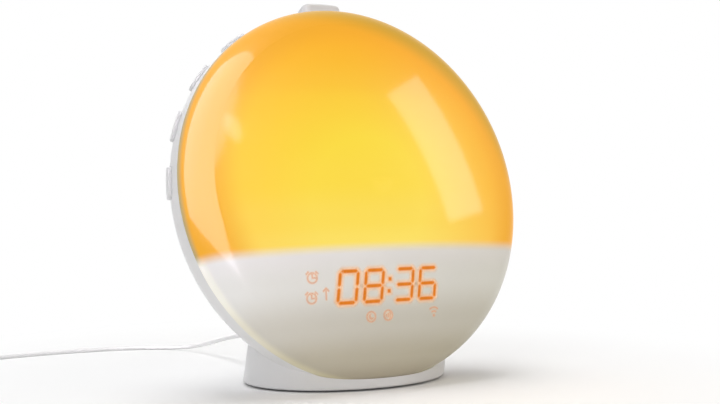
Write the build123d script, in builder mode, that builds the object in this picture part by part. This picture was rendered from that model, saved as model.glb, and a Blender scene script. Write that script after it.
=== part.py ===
from build123d import *
import os
from math import asin, atan2, cos, degrees, hypot, pi, radians, sin, sqrt, tan

# Sunrise alarm clock: a round lamp dome that leans back on a flared foot, with the time
# shown through the lower part of the dome and press buttons around the housing's side.
#
# Millimetres, +Z up. The origin lies on the ground below the centre of the foot. The lamp
# faces -Y.
# Most inner pieces are placed from the face plane: X across, Y up along the leaning face,
# Z forward out of the lamp, with its origin at the centre of the seam between dome and housing.

# ---- Driving dimensions ------------------------------------------------------------------

# Lamp face
FACE_RADIUS = 90.0
FACE_TILT = 14.5            # degrees back from upright
FACE_LIP = 2.17             # lowest point of the seam above the ground
FACE_FORWARD = 7.8          # centre of the seam in front of the foot's centre

# Dome: a shallow crown, a rounded knuckle and a short straight edge
DOME_HEIGHT = 25.5
DOME_KNUCKLE = 15.0
DOME_EDGE = 0.5
DOME_WALL = 2.0
FLANGE_HEIGHT = 2.0         # inner flange of the dome, in front of the seam
SPIGOT_DEPTH = 2.0          # centring ring of the dome, behind the seam
SPIGOT_WALL = 1.4
SPIGOT_GAP = 0.6

# Housing: straight side, then an elliptical bowl
HOUSING_DEPTH = 45.0
HOUSING_STRAIGHT = 5.0
HOUSING_WALL = 2.2
DOME_GAP = 0.3              # between the underside of the dome and the foot's lip

# Foot
PAD_HEIGHT = 1.0            # rubber pads below the foot
PAD_RADIUS = 4.5
PAD_RECESS = 0.5
FOOT_HALF_WIDTH = 51.3
FOOT_HALF_DEPTH = 37.5
NECK_HEIGHT = 46.0          # height where the foot's upper section is drawn, inside the bowl
NECK_HALF_WIDTH = 52.5
NECK_HALF_DEPTH = 26.0
NECK_FORWARD = 11.0
FOOT_WALL = 2.8
FOOT_LIP = 2.2              # skirt around the base cover
FOOT_EDGE_RADIUS = 1.2
ROOM_FRONT = 11.0           # front wall of the foot's room, in front of the foot's centre
FIT_GAP = 0.3               # clearance around covers, doors and loose inner pieces
COVER_THICKNESS = 2.4

# Fasteners
SCREW_RADIUS = 1.5
SCREW_HEAD_RADIUS = 2.8
SCREW_HEAD_HEIGHT = 1.3
SCREW_GAP = 0.1
DRIVE_RADIUS = 1.2
DRIVE_DEPTH = 0.7
BOSS_RADIUS = 3.6
HOUSING_SCREW_INSET = 9.0   # from the edge of the face
HOUSING_SCREW_ANGLES = (72.0, 108.0, 212.0, 328.0)
HOUSING_SCREW_SEAT = 12.0   # screw head seat behind the seam
HOUSING_SCREW_LENGTH = 17.0
COVER_SCREW_LENGTH = 7.0
COVER_SCREWS = ((41.0, -1.0), (-41.0, -1.0), (33.0, 18.0), (-33.0, 18.0))
PADS_ON_COVER = ((20.0, 27.0), (-20.0, 27.0))
PADS_ON_HOUSING = ((27.0, -21.0), (-27.0, -21.0))

# Reflector plate and the lamp's lights
PLATE_THICKNESS = 1.6
BOARD_THICKNESS = 1.6
DIVIDER_RISE = 59.0         # top of the light divider above the lowest edge of the face
DIVIDER_THICKNESS = 1.4
LED_BOARD_INSET = 18.0      # from the edge of the face
LED_BOARD_GAP = 2.5         # above the light divider
LED_SIZE = 5.0
LED_THICKNESS = 1.6
LED_INSET = 6.0             # outer ring of lights from the edge of their board
LED_COUNTS = (1, 6, 12, 18) # lights on each ring, from the middle out

# Display: its plane touches the inside of the dome at the middle of the digits
DISPLAY_RISE = 42.0         # middle of the digits above the lowest edge of the face
DISPLAY_SHIFT = -1.4
DISPLAY_LEFT = 44.0         # reach of the display block from the middle of the digits
DISPLAY_RIGHT = 31.0
DISPLAY_TOP = 11.0
DISPLAY_BOTTOM = 18.5
DISPLAY_DEPTH = 7.0
DIGIT_HEIGHT = 15.4
DIGIT_WIDTH = 10.4
DIGIT_STROKE = 1.5
DIGIT_SLANT = 8.5           # degrees
DIGIT_PITCH = 13.1
DIGIT_MIDDLE_GAP = 16.3     # pitch across the colon
SEGMENT_DEPTH = 3.0
SEGMENT_GAP = 0.3           # from a bar's tip to the corner it points at
COLON_RISE = 2.7
COLON_SIZE = 1.5
ICON_DEPTH = 5.0
ICON_STROKE = 0.6
ICON_SIZE = 5.0
ALARM_ICON_HIGH = (-38.3, 4.7)
ALARM_ICON_LOW = (-39.0, -4.2)
ARROW_ICON = (-32.1, -2.7)
MOON_ICON = (-10.2, -13.7)
VOLUME_ICON = (-1.3, -13.5)
SIGNAL_ICON = (24.3, -15.0)
POST_RADIUS = 2.6

# Boards behind the plate
STANDOFF = 9.4              # from the plate to the boards
MAIN_GAP = 15.0             # from each side of the main board to the key board
MAIN_HEIGHT = 50.0
MAIN_HOLE_INSET = 4.0
KEY_BOARD_INSET = 13.5      # from the edge of the face
KEY_BOARD_WIDTH = 19.5
KEY_BOARD_END = 189.0       # degrees; the board runs from the mirrored angle to this one
KEY_POST_INSET = 5.0        # from the inner edge of the key board
KEY_POST_ANGLES = (12.0, 46.0, 72.5, 107.5, 134.0, 168.0)
BOARD_SCREW_LENGTH = 6.0
LED_PINS_RISE = 17.0        # pins between the light board and the main board
PIN_PITCH = 2.54
PIN_SIZE = 0.64
PLATE_SLOT = (14.0, 3.0)    # slots in the plate for the pins and the display's cable
RIBBON_RISE = 3.0           # above the middle of the digits
RIBBON_END = 19.0
RIBBON_WIDTH = 10.0
RIBBON_THICKNESS = 0.5
RIBBON_BEND = 2.0
CHIPS = (                   # place, width, height and thickness of each chip
    (14.0, -6.0, 10.0, 10.0, 1.2),
    (-4.0, -10.0, 6.0, 5.0, 1.5),
    (-24.0, -7.0, 6.0, 5.0, 1.5),
    (28.0, -14.0, 5.0, 4.0, 1.4),
)
CHIP_CHAMFER = 0.3
RADIO_INSET = 16.0          # middle of the module from the left edge of the main board
RADIO_RISE = 9.5
RADIO_WIDTH = 16.0
RADIO_HEIGHT = 18.0
RADIO_BOARD = 0.8
RADIO_CAN = 2.4
RADIO_AERIAL = 5.0
CAPACITOR_INSET = 11.0      # from the right edge of the main board
CAPACITOR_RISES = (8.0, 16.0)
CAPACITOR_RADIUS = 3.15
CAPACITOR_LENGTH = 7.7
SOCKET_SIZE = (8.0, 5.0)
SOCKET_DEPTH = 5.5
SPEAKER_SOCKET = (14.0, 16.0)
POWER_SOCKET = (-18.0, -18.0)

# Buttons around the housing
BUTTON_ANGLES = (123.4, 140.5, 158.0, 175.5)
BUTTON_LENGTH = 15.0
BUTTON_WIDTH = 7.2
BUTTON_PROUD = 1.6
BUTTON_BACK = 10.0          # centre line behind the seam
BUTTON_CORNER = 3.4
BUTTON_TRAVEL = 0.6
BUTTON_EDGE = 0.6
SNOOZE_LENGTH = 21.0
SNOOZE_WIDTH = 9.6
SNOOZE_PROUD = 7.4
SNOOZE_EDGE = 1.6
SNOOZE_TRAVEL = 1.0
BUTTON_GAP = 0.3            # around each cap in its slot
BUTTON_FLANGE = 1.2
BUTTON_FLANGE_THICKNESS = 1.4
STEM_SIZE = 4.6
SWITCH_LENGTH = 6.0
SWITCH_WIDTH = 5.6
SWITCH_DEPTH = 4.0
SWITCH_TIP_RADIUS = 1.5
SWITCH_REACH = 1.4          # plunger beyond the switch body

# Speaker at the back of the bowl
SPEAKER_SIZE = 40.0
SPEAKER_CORNER = 4.0
SPEAKER_SEAT = 2.6          # frame in front of the bowl's inner pole
SPEAKER_FRAME = 1.2
SPEAKER_HOLE_SPREAD = 16.0
SPEAKER_CONE_RADIUS = 16.0
SPEAKER_BASKET_DEPTH = 8.5
SPEAKER_NECK_RADIUS = 9.0
MAGNET_RADIUS = 11.0
MAGNET_THICKNESS = 6.0
GASKET_WIDTH = 2.0
SPEAKER_SCREW_LENGTH = 4.0
CONE_THICKNESS = 0.5
CONE_DEPTH_GAP = 2.0        # cone's neck in front of the end of the basket
GRILLE_HOLE = 0.9
GRILLE_RINGS = ((0.0, 1), (4.2, 6), (8.4, 12), (12.6, 18))

# Power inlet in the back of the foot
PORT_X = -18.0
PORT_Z = 15.0
PORT_FACE = 24.0            # inlet wall behind the foot's centre
PORT_WALL = 3.0
PORT_OPENING = 13.0
PORT_BLOCK = 17.0
JACK_SIZE = 9.0
JACK_LENGTH = 12.0
JACK_NOSE_RADIUS = 4.0
JACK_PIN_RADIUS = 1.0
WIRE_HOLE_RADIUS = 4.0
WIRE_HOLE_Y = 4.0
WIRE_RADIUS = 0.7
WIRE_PITCH = 2.5
WIRE_BEND = 1.5
WIRE_LOOP = 4.0             # length of a wire straight out of a socket
WIRE_TURN_Z = 44.0          # height where the power wires turn to the main board

# Battery in the foot
BATTERY_X = 9.5
BATTERY_Y = 10.5
CELL_RADIUS = 10.0
CELL_THICKNESS = 3.2
CELL_OFFSET = -4.0
HOLDER_LENGTH = 37.0
HOLDER_WIDTH = 24.0
HOLDER_HEIGHT = 5.2
DOOR_LENGTH = 32.0
DOOR_WIDTH = 22.5
DOOR_CORNER = 3.0
DOOR_SCREW_OFFSET = 12.0
DOOR_SCREW_LENGTH = 4.0

# Power cord
CORD_DIAMETER = 2.2
PLUG_BARREL_RADIUS = 2.75
PLUG_BARREL_LENGTH = 9.0
PLUG_GRIP_RADIUS = 4.6
PLUG_GRIP_LENGTH = 16.0
RELIEF_LENGTH = 12.0
RELIEF_RADIUS = 2.4
COIL_CENTRE = (-166.0, 118.0)
COIL_COLUMNS = 4
COIL_LAYERS = 4
COIL_INNER_TURN = 8.8       # radius of the innermost turn
COIL_ENTRY_ANGLE = 115.0    # where the cord's run goes in among the outer turns
TIE_THICKNESS = 0.5
TIE_WIDTH = 3.0
USB_GRIP = (15.6, 26.0, 8.0)
USB_SHELL = (12.0, 13.0, 4.5)
USB_RELIEF = 8.0
USB_CORNER = 2.0

# ---- Shared geometry ---------------------------------------------------------------------

os.makedirs("parts", exist_ok=True)

tilt = radians(FACE_TILT)
face = Plane(
    origin=(0, -FACE_FORWARD, FACE_LIP + FACE_RADIUS * cos(tilt)),
    x_dir=(1, 0, 0),
    z_dir=(0, -cos(tilt), sin(tilt)),
)
section = Plane(origin=face.origin, x_dir=face.x_dir, z_dir=-face.y_dir)
lamp_axis = Axis(face.origin, face.z_dir)
ground = Plane.XY

inner_radius = FACE_RADIUS - HOUSING_WALL
inner_depth = HOUSING_DEPTH - HOUSING_WALL
spigot_outer = inner_radius - SPIGOT_GAP
spigot_inner = spigot_outer - SPIGOT_WALL
plate_front = -SPIGOT_DEPTH
plate_back = plate_front - PLATE_THICKNESS
boards_front = plate_back - STANDOFF
boards_back = boards_front - BOARD_THICKNESS
divider_drop = FACE_RADIUS - DIVIDER_RISE
display_drop = FACE_RADIUS - DISPLAY_RISE
ribbon_drop = display_drop - RIBBON_RISE
led_board_radius = FACE_RADIUS - LED_BOARD_INSET
key_board_outer = FACE_RADIUS - KEY_BOARD_INSET
key_board_inner = key_board_outer - KEY_BOARD_WIDTH
main_width = 2 * (key_board_inner - MAIN_GAP)
cover_top = PAD_HEIGHT + COVER_THICKNESS

knuckle_centre = FACE_RADIUS - DOME_KNUCKLE
dome_rise = DOME_HEIGHT - DOME_EDGE
crown_radius = (knuckle_centre**2 + dome_rise**2 - DOME_KNUCKLE**2) / (
    2 * (dome_rise - DOME_KNUCKLE)
)
crown_centre = DOME_HEIGHT - crown_radius
join_angle = degrees(atan2(DOME_EDGE - crown_centre, knuckle_centre))


def save(builder, name):
    """Label the finished piece and write it."""
    builder.part.label = name
    export_step(builder.part, f"parts/{name}.step")


def dome_half(inset, base):
    """Half section of the dome's volume, set in from its outer surface, down to base."""
    with BuildSketch(section) as half:
        with BuildLine():
            CenterArc((0, crown_centre), crown_radius - inset, join_angle, 90 - join_angle)
            CenterArc((knuckle_centre, DOME_EDGE), DOME_KNUCKLE - inset, 0, join_angle)
            Polyline(
                (FACE_RADIUS - inset, DOME_EDGE),
                (FACE_RADIUS - inset, -FACE_RADIUS),
                (0, -FACE_RADIUS),
                (0, DOME_HEIGHT - inset),
            )
        make_face()
        with Locations((0, base)):
            Rectangle(2 * FACE_RADIUS, FACE_RADIUS, align=(Align.MIN, Align.MIN),
                      mode=Mode.INTERSECT)
    return half.sketch


def bowl_half(inset, front):
    """Half section of the housing's bowl, set in from its outer surface, up to front."""
    radius = FACE_RADIUS - inset
    rise = HOUSING_DEPTH - inset - HOUSING_STRAIGHT
    with BuildSketch(section) as half:
        with BuildLine():
            EllipticalCenterArc((0, -HOUSING_STRAIGHT), radius, rise, 270, arc_size=90)
            Polyline(
                (radius, -HOUSING_STRAIGHT),
                (radius, front),
                (0, front),
                (0, -HOUSING_STRAIGHT - rise),
            )
        make_face()
    return half.sketch


def bowl_radius(inset, back):
    """Radius of the bowl's surface at a distance behind the seam."""
    radius = FACE_RADIUS - inset
    rise = HOUSING_DEPTH - inset - HOUSING_STRAIGHT
    share = max(0.0, back - HOUSING_STRAIGHT) / rise
    return radius * sqrt(1 - share**2)


def foot_sections(inset):
    """Bottom and upper outline of the foot, set in from its outer surface."""
    with BuildSketch(ground.offset(PAD_HEIGHT)) as low:
        Ellipse(FOOT_HALF_WIDTH - inset, FOOT_HALF_DEPTH - inset)
    with BuildSketch(ground.offset(NECK_HEIGHT)) as high:
        with Locations((0, -NECK_FORWARD)):
            Ellipse(NECK_HALF_WIDTH - inset, NECK_HALF_DEPTH - inset)
    return [low.sketch, high.sketch]


def on_circle(radius, angle):
    """Point of the face plane at a radius and an angle from its X axis."""
    return (radius * cos(radians(angle)), radius * sin(radians(angle)))


def button_plane(angle):
    """Plane square to a button's travel: X along the lamp's axis, Z outward."""
    outward = face.x_dir * cos(radians(angle)) + face.y_dir * sin(radians(angle))
    return Plane(
        origin=face.origin - face.z_dir * BUTTON_BACK, x_dir=face.z_dir, z_dir=outward
    )


def screw(name, seat_plane, places, length):
    """Pan-head screws whose heads stand on the seat plane, shanks along its normal."""
    with BuildPart() as screws:
        with BuildSketch(seat_plane):
            with Locations(*places):
                Circle(SCREW_RADIUS)
        extrude(amount=length)
        with BuildSketch(seat_plane):
            with Locations(*places):
                Circle(SCREW_HEAD_RADIUS)
        extrude(amount=-SCREW_HEAD_HEIGHT)
        with BuildSketch(seat_plane.offset(-SCREW_HEAD_HEIGHT)):
            with Locations(*places):
                RegularPolygon(DRIVE_RADIUS, 6)
        extrude(amount=DRIVE_DEPTH, mode=Mode.SUBTRACT)
    save(screws, name)


def tube(points, radius, radii):
    """Wire or cord: straight runs joined by tangent arcs."""
    with BuildPart() as run:
        with BuildLine() as path:
            FilletPolyline(*points, radius=radii)
        with BuildSketch(Plane(origin=path.line @ 0, z_dir=path.line % 0)):
            Circle(radius)
        sweep(path=path.line)
    return run.part


def bend_radii(points):
    """Largest arc each corner's two runs allow, leaving a tenth of the run straight."""
    radii = []
    for before, corner, after in zip(points, points[1:], points[2:]):
        run_in = Vector(*corner) - Vector(*before)
        run_out = Vector(*after) - Vector(*corner)
        half_turn = radians(run_in.get_angle(run_out)) / 2
        radii.append(0.45 * min(run_in.length, run_out.length) / tan(half_turn))
    return radii


# ---- Housing -----------------------------------------------------------------------------

housing_screws = [on_circle(FACE_RADIUS - HOUSING_SCREW_INSET, angle) for angle in HOUSING_SCREW_ANGLES]
speaker_screws = [
    (x * SPEAKER_HOLE_SPREAD, y * SPEAKER_HOLE_SPREAD) for x in (-1, 1) for y in (-1, 1)
]
grille_holes = [
    on_circle(radius, 360 * step / count)
    for radius, count in GRILLE_RINGS
    for step in range(count)
]
speaker_seat = -inner_depth + SPEAKER_SEAT
port_plane = Plane(origin=(PORT_X, PORT_FACE, PORT_Z), x_dir=(-1, 0, 0), z_dir=(0, 1, 0))
above_cover = NECK_HEIGHT - cover_top
hole_radius = SCREW_RADIUS + SCREW_GAP
counterbore_radius = SCREW_HEAD_RADIUS + SCREW_GAP
counterbore_depth = SCREW_HEAD_HEIGHT + SCREW_GAP

# Room inside the foot: below the bowl, behind the front wall, around the posts and the inlet.
with BuildPart() as foot_room:
    loft(foot_sections(FOOT_WALL))
    room_front = Plane(origin=(0, -ROOM_FRONT, 0), z_dir=(0, 1, 0))
    split(bisect_by=room_front, keep=Keep.TOP)
    revolve(bowl_half(0, SPIGOT_DEPTH), axis=lamp_axis, mode=Mode.SUBTRACT)
    with BuildSketch(ground.offset(cover_top)):
        with Locations(*COVER_SCREWS):
            Circle(BOSS_RADIUS)
    extrude(amount=above_cover, mode=Mode.SUBTRACT)
    with BuildSketch(port_plane.offset(-PORT_WALL)):
        Rectangle(PORT_BLOCK, PORT_BLOCK)
    extrude(amount=FOOT_HALF_DEPTH, mode=Mode.SUBTRACT)


def cover_outline(gap):
    """Outline of the base cover in its recess, smaller by a clearance."""
    with BuildSketch(ground.offset(PAD_HEIGHT)) as outline:
        Ellipse(FOOT_HALF_WIDTH - FOOT_LIP - gap, FOOT_HALF_DEPTH - FOOT_LIP - gap)
        split(bisect_by=Plane(origin=(0, gap - ROOM_FRONT, 0), z_dir=(0, 1, 0)), keep=Keep.TOP)
    return outline.sketch


# Posts inside the bowl, ending in its wall: for the housing screws and for the speaker.
with BuildPart() as bowl_posts:
    with BuildSketch(face.offset(plate_back)):
        with Locations(*housing_screws):
            Circle(BOSS_RADIUS)
    extrude(amount=-HOUSING_DEPTH)
    with BuildSketch(face.offset(speaker_seat)):
        with Locations(*speaker_screws):
            Circle(BOSS_RADIUS)
    extrude(amount=-HOUSING_DEPTH)
    revolve(bowl_half(HOUSING_WALL / 2, 0), axis=lamp_axis, mode=Mode.INTERSECT)


def button_slot(angle, length, width, gap):
    """Outline of a button's cap on its own plane, larger by a clearance."""
    with BuildSketch(button_plane(angle)) as outline:
        RectangleRounded(width + 2 * gap, length + 2 * gap, BUTTON_CORNER + gap)
    return outline.sketch


snooze = (SNOOZE_LENGTH, SNOOZE_WIDTH, SNOOZE_PROUD, SNOOZE_EDGE, SNOOZE_TRAVEL)
buttons = {"snooze_button": (90.0, *snooze)}
for number, angle in enumerate(BUTTON_ANGLES, 1):
    small = (BUTTON_LENGTH, BUTTON_WIDTH, BUTTON_PROUD, BUTTON_EDGE, BUTTON_TRAVEL)
    buttons[f"left_button_{number}"] = (angle, *small)
    buttons[f"right_button_{number}"] = (180 - angle, *small)

with BuildPart() as rear_housing:
    revolve(bowl_half(0, 0), axis=lamp_axis)
    loft(foot_sections(0))
    split(bisect_by=ground.offset(PAD_HEIGHT), keep=Keep.TOP)
    revolve(dome_half(-DOME_GAP, 0), axis=lamp_axis, mode=Mode.SUBTRACT)
    revolve(bowl_half(HOUSING_WALL, SPIGOT_DEPTH), axis=lamp_axis, mode=Mode.SUBTRACT)
    add(foot_room.part, mode=Mode.SUBTRACT)
    add(bowl_posts.part)
    for angle, length, width, *_ in buttons.values():
        extrude(button_slot(angle, length, width, BUTTON_GAP), FACE_RADIUS + SNOOZE_PROUD,
                mode=Mode.SUBTRACT)
    # Screw holes and their counterbores, open to the back
    with BuildSketch(face.offset(plate_back)):
        with Locations(*housing_screws):
            Circle(hole_radius)
    extrude(amount=-HOUSING_DEPTH, mode=Mode.SUBTRACT)
    with BuildSketch(face.offset(-HOUSING_SCREW_SEAT)):
        with Locations(*housing_screws):
            Circle(counterbore_radius)
    extrude(amount=-HOUSING_DEPTH, mode=Mode.SUBTRACT)
    # Speaker posts and grille
    with BuildSketch(face.offset(speaker_seat)):
        with Locations(*speaker_screws):
            Circle(hole_radius)
    extrude(amount=-(SPEAKER_SCREW_LENGTH - SPEAKER_FRAME), mode=Mode.SUBTRACT)
    with BuildSketch(face.offset(-HOUSING_DEPTH - HOUSING_WALL)):
        with Locations(*grille_holes):
            Circle(GRILLE_HOLE)
    extrude(amount=3 * HOUSING_WALL, mode=Mode.SUBTRACT)
    # Recess and posts for the base cover, and recesses for the front pads
    extrude(cover_outline(0), COVER_THICKNESS, mode=Mode.SUBTRACT)
    skirt = faces().sort_by(Axis.Z)[0]
    fillet(skirt.outer_wire().edges(), radius=FOOT_EDGE_RADIUS)
    with BuildSketch(ground.offset(cover_top)):
        with Locations(*COVER_SCREWS):
            Circle(hole_radius)
    extrude(amount=COVER_SCREW_LENGTH, mode=Mode.SUBTRACT)
    with BuildSketch(ground.offset(PAD_HEIGHT)):
        with Locations(*PADS_ON_HOUSING):
            Circle(PAD_RADIUS)
    extrude(amount=PAD_RECESS, mode=Mode.SUBTRACT)
    # Power inlet pocket, its wall's hole, and the wires' way up into the bowl
    with BuildSketch(port_plane):
        RectangleRounded(PORT_OPENING, PORT_OPENING, 2 * FIT_GAP)
    extrude(amount=FOOT_HALF_DEPTH, mode=Mode.SUBTRACT)
    with BuildSketch(port_plane):
        Circle(JACK_NOSE_RADIUS)
    extrude(amount=-PORT_WALL, mode=Mode.SUBTRACT)
    with BuildSketch(ground.offset(cover_top)):
        with Locations((PORT_X, WIRE_HOLE_Y)):
            Circle(WIRE_HOLE_RADIUS)
    extrude(amount=above_cover, mode=Mode.SUBTRACT)
save(rear_housing, "rear_housing")

with BuildPart() as base_cover:
    extrude(cover_outline(FIT_GAP), COVER_THICKNESS)
    with BuildSketch(ground.offset(PAD_HEIGHT)):
        with Locations(*COVER_SCREWS):
            Circle(hole_radius)
    extrude(amount=COVER_THICKNESS, mode=Mode.SUBTRACT)
    with BuildSketch(ground.offset(PAD_HEIGHT)):
        with Locations(*COVER_SCREWS):
            Circle(counterbore_radius)
    extrude(amount=counterbore_depth, mode=Mode.SUBTRACT)
    with BuildSketch(ground.offset(PAD_HEIGHT)):
        with Locations(*PADS_ON_COVER):
            Circle(PAD_RADIUS)
    extrude(amount=PAD_RECESS, mode=Mode.SUBTRACT)
    with BuildSketch(ground.offset(PAD_HEIGHT)):
        with Locations((BATTERY_X, BATTERY_Y)):
            RectangleRounded(DOOR_LENGTH + 2 * FIT_GAP, DOOR_WIDTH + 2 * FIT_GAP, DOOR_CORNER)
    extrude(amount=COVER_THICKNESS, mode=Mode.SUBTRACT)
save(base_cover, "base_cover")

with BuildPart() as rubber_feet:
    with BuildSketch(ground):
        with Locations(*PADS_ON_COVER, *PADS_ON_HOUSING):
            Circle(PAD_RADIUS)
    extrude(amount=PAD_HEIGHT + PAD_RECESS)
    chamfer(edges().group_by(Axis.Z)[0], length=PAD_RECESS)
save(rubber_feet, "rubber_feet")

screw(
    "base_screws",
    ground.offset(PAD_HEIGHT + counterbore_depth),
    COVER_SCREWS,
    COVER_SCREW_LENGTH,
)
screw("housing_screws", face.offset(-HOUSING_SCREW_SEAT), housing_screws, HOUSING_SCREW_LENGTH)

# ---- Dome, divider and reflector plate ---------------------------------------------------

screw_reach = HOUSING_SCREW_LENGTH - HOUSING_SCREW_SEAT

with BuildPart() as dome_posts:
    with BuildSketch(face.offset(plate_front)):
        with Locations(*housing_screws):
            Circle(BOSS_RADIUS)
    extrude(amount=DOME_HEIGHT)
    revolve(dome_half(DOME_WALL / 2, plate_front), axis=lamp_axis, mode=Mode.INTERSECT)

with BuildPart() as front_diffuser:
    revolve(dome_half(0, 0), axis=lamp_axis)
    with BuildSketch(face.offset(plate_front)):
        Circle(spigot_outer)
    extrude(amount=SPIGOT_DEPTH)
    revolve(dome_half(DOME_WALL, FLANGE_HEIGHT), axis=lamp_axis, mode=Mode.SUBTRACT)
    with BuildSketch(face.offset(plate_front)):
        Circle(spigot_inner)
    extrude(amount=SPIGOT_DEPTH + FLANGE_HEIGHT, mode=Mode.SUBTRACT)
    add(dome_posts.part)
    with BuildSketch(face.offset(plate_front)):
        with Locations(*housing_screws):
            Circle(hole_radius)
    extrude(amount=SPIGOT_DEPTH + screw_reach + SCREW_GAP, mode=Mode.SUBTRACT)
save(front_diffuser, "front_diffuser")

with BuildPart() as light_divider:
    revolve(dome_half(DOME_WALL + FIT_GAP, FLANGE_HEIGHT + FIT_GAP), axis=lamp_axis)
    with BuildSketch(face.offset(plate_front)):
        Circle(spigot_inner - FIT_GAP)
    extrude(amount=SPIGOT_DEPTH + FLANGE_HEIGHT + FIT_GAP)
    across = Plane(origin=face.origin - face.y_dir * divider_drop, z_dir=face.y_dir)
    split(bisect_by=across, keep=Keep.BOTTOM)
    split(bisect_by=across.offset(-DIVIDER_THICKNESS), keep=Keep.TOP)
save(light_divider, "light_divider")

# The display's plane touches the inside of the dome at the middle of the digits.
inside_crown = crown_radius - DOME_WALL - FIT_GAP
drop_angle = asin(display_drop / inside_crown)
display_out = face.z_dir * cos(drop_angle) - face.y_dir * sin(drop_angle)
display = Plane(
    origin=face.origin + face.z_dir * crown_centre + display_out * inside_crown
    + face.x_dir * DISPLAY_SHIFT,
    x_dir=face.x_dir,
    z_dir=display_out,
)
display_middle = ((DISPLAY_RIGHT - DISPLAY_LEFT) / 2, (DISPLAY_TOP - DISPLAY_BOTTOM) / 2)
display_size = (DISPLAY_LEFT + DISPLAY_RIGHT, DISPLAY_TOP + DISPLAY_BOTTOM)
display_posts = [
    (x, y)
    for x in (POST_RADIUS - DISPLAY_LEFT, DISPLAY_RIGHT - POST_RADIUS)
    for y in (POST_RADIUS - DISPLAY_BOTTOM, DISPLAY_TOP - POST_RADIUS)
]
main_holes = [
    (x * (main_width / 2 - MAIN_HOLE_INSET), y * (MAIN_HEIGHT / 2 - MAIN_HOLE_INSET))
    for x in (-1, 1)
    for y in (-1, 1)
]
key_holes = [on_circle(key_board_inner + KEY_POST_INSET, angle) for angle in KEY_POST_ANGLES]

with BuildPart() as reflector_plate:
    with BuildSketch(display.offset(-DISPLAY_DEPTH - BOARD_THICKNESS)):
        with Locations(*display_posts):
            Circle(POST_RADIUS)
    extrude(amount=-FACE_RADIUS)
    split(bisect_by=face.offset(plate_back), keep=Keep.TOP)
    with BuildSketch(face.offset(plate_back)):
        Circle(spigot_outer)
    extrude(amount=PLATE_THICKNESS)
    with BuildSketch(face.offset(boards_front)):
        with Locations(*main_holes, *key_holes):
            Circle(POST_RADIUS)
    extrude(amount=STANDOFF)
    with BuildSketch(face.offset(boards_front)):
        with Locations(*main_holes, *key_holes):
            Circle(hole_radius)
    extrude(amount=BOARD_SCREW_LENGTH - BOARD_THICKNESS + SCREW_GAP, mode=Mode.SUBTRACT)
    with BuildSketch(face.offset(plate_back)):
        with Locations(*housing_screws):
            Circle(hole_radius)
        with Locations((0, LED_PINS_RISE)):
            RectangleRounded(*PLATE_SLOT, PLATE_SLOT[1] / 3)
        with Locations((0, -ribbon_drop)):
            RectangleRounded(*PLATE_SLOT, PLATE_SLOT[1] / 3)
    extrude(amount=PLATE_THICKNESS, mode=Mode.SUBTRACT)
save(reflector_plate, "reflector_plate")

# ---- Lamp lights -------------------------------------------------------------------------

led_board_low = LED_BOARD_GAP - divider_drop
led_pitch = (led_board_radius - LED_INSET) / (len(LED_COUNTS) - 1)
led_rings = [(ring * led_pitch, count) for ring, count in enumerate(LED_COUNTS)]
led_places = [
    place
    for radius, count in led_rings
    for place in [on_circle(radius, 90 + 360 * step / count) for step in range(count)]
    if place[1] > led_board_low + LED_SIZE
]

with BuildPart() as led_board:
    with BuildSketch(face.offset(plate_front)):
        Circle(led_board_radius)
        with Locations((0, led_board_low)):
            Rectangle(2 * FACE_RADIUS, FACE_RADIUS, align=(Align.CENTER, Align.MAX),
                      mode=Mode.SUBTRACT)
    extrude(amount=BOARD_THICKNESS)
save(led_board, "led_board")

with BuildPart() as leds:
    with BuildSketch(face.offset(plate_front + BOARD_THICKNESS)):
        with Locations(*led_places):
            Rectangle(LED_SIZE, LED_SIZE)
    extrude(amount=LED_THICKNESS)
    with BuildSketch(face.offset(plate_front + BOARD_THICKNESS + LED_THICKNESS)):
        with Locations(*led_places):
            Circle(LED_SIZE * 0.4)
    extrude(amount=-LED_THICKNESS / 3, mode=Mode.SUBTRACT)
save(leds, "leds")

pin_places = [(x * PIN_PITCH, LED_PINS_RISE) for x in (-1.5, -0.5, 0.5, 1.5)]
with BuildPart() as led_pins:
    with BuildSketch(face.offset(boards_front)):
        with Locations(*pin_places):
            Rectangle(PIN_SIZE, PIN_SIZE)
    extrude(amount=STANDOFF + PLATE_THICKNESS)
save(led_pins, "led_pins")

# ---- Display -----------------------------------------------------------------------------

SEGMENTS = {
    "top": ((0, 1), (1, 1)),
    "upper_right": ((1, 1), (1, 0.5)),
    "lower_right": ((1, 0.5), (1, 0)),
    "bottom": ((0, 0), (1, 0)),
    "lower_left": ((0, 0.5), (0, 0)),
    "upper_left": ((0, 1), (0, 0.5)),
    "middle": ((0, 0.5), (1, 0.5)),
}
UNLIT = {"0": ("middle",), "8": (), "3": ("upper_left", "lower_left"), "6": ("upper_right",)}
digit_centres = [
    -DIGIT_MIDDLE_GAP / 2 - DIGIT_PITCH,
    -DIGIT_MIDDLE_GAP / 2,
    DIGIT_MIDDLE_GAP / 2,
    DIGIT_MIDDLE_GAP / 2 + DIGIT_PITCH,
]


def slanted(x, y):
    """Lean a point of the display to the right with height."""
    return (x + y * tan(radians(DIGIT_SLANT)), y)


def segment(centre, ends):
    """One bar of a digit with pointed ends, between two corners of the digit's frame."""
    width = DIGIT_WIDTH - DIGIT_STROKE
    height = DIGIT_HEIGHT - DIGIT_STROKE
    (x0, y0), (x1, y1) = [((x - 0.5) * width + centre, (y - 0.5) * height) for x, y in ends]
    length = hypot(x1 - x0, y1 - y0)
    along = ((x1 - x0) / length, (y1 - y0) / length)
    half = DIGIT_STROKE / 2
    outline = (
        (SEGMENT_GAP, 0), (SEGMENT_GAP + half, half), (length - SEGMENT_GAP - half, half),
        (length - SEGMENT_GAP, 0), (length - SEGMENT_GAP - half, -half),
        (SEGMENT_GAP + half, -half),
    )
    points = [
        slanted(x0 + a * along[0] - b * along[1], y0 + a * along[1] + b * along[0])
        for a, b in outline
    ]
    return make_face(Polyline(*points, close=True))


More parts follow.
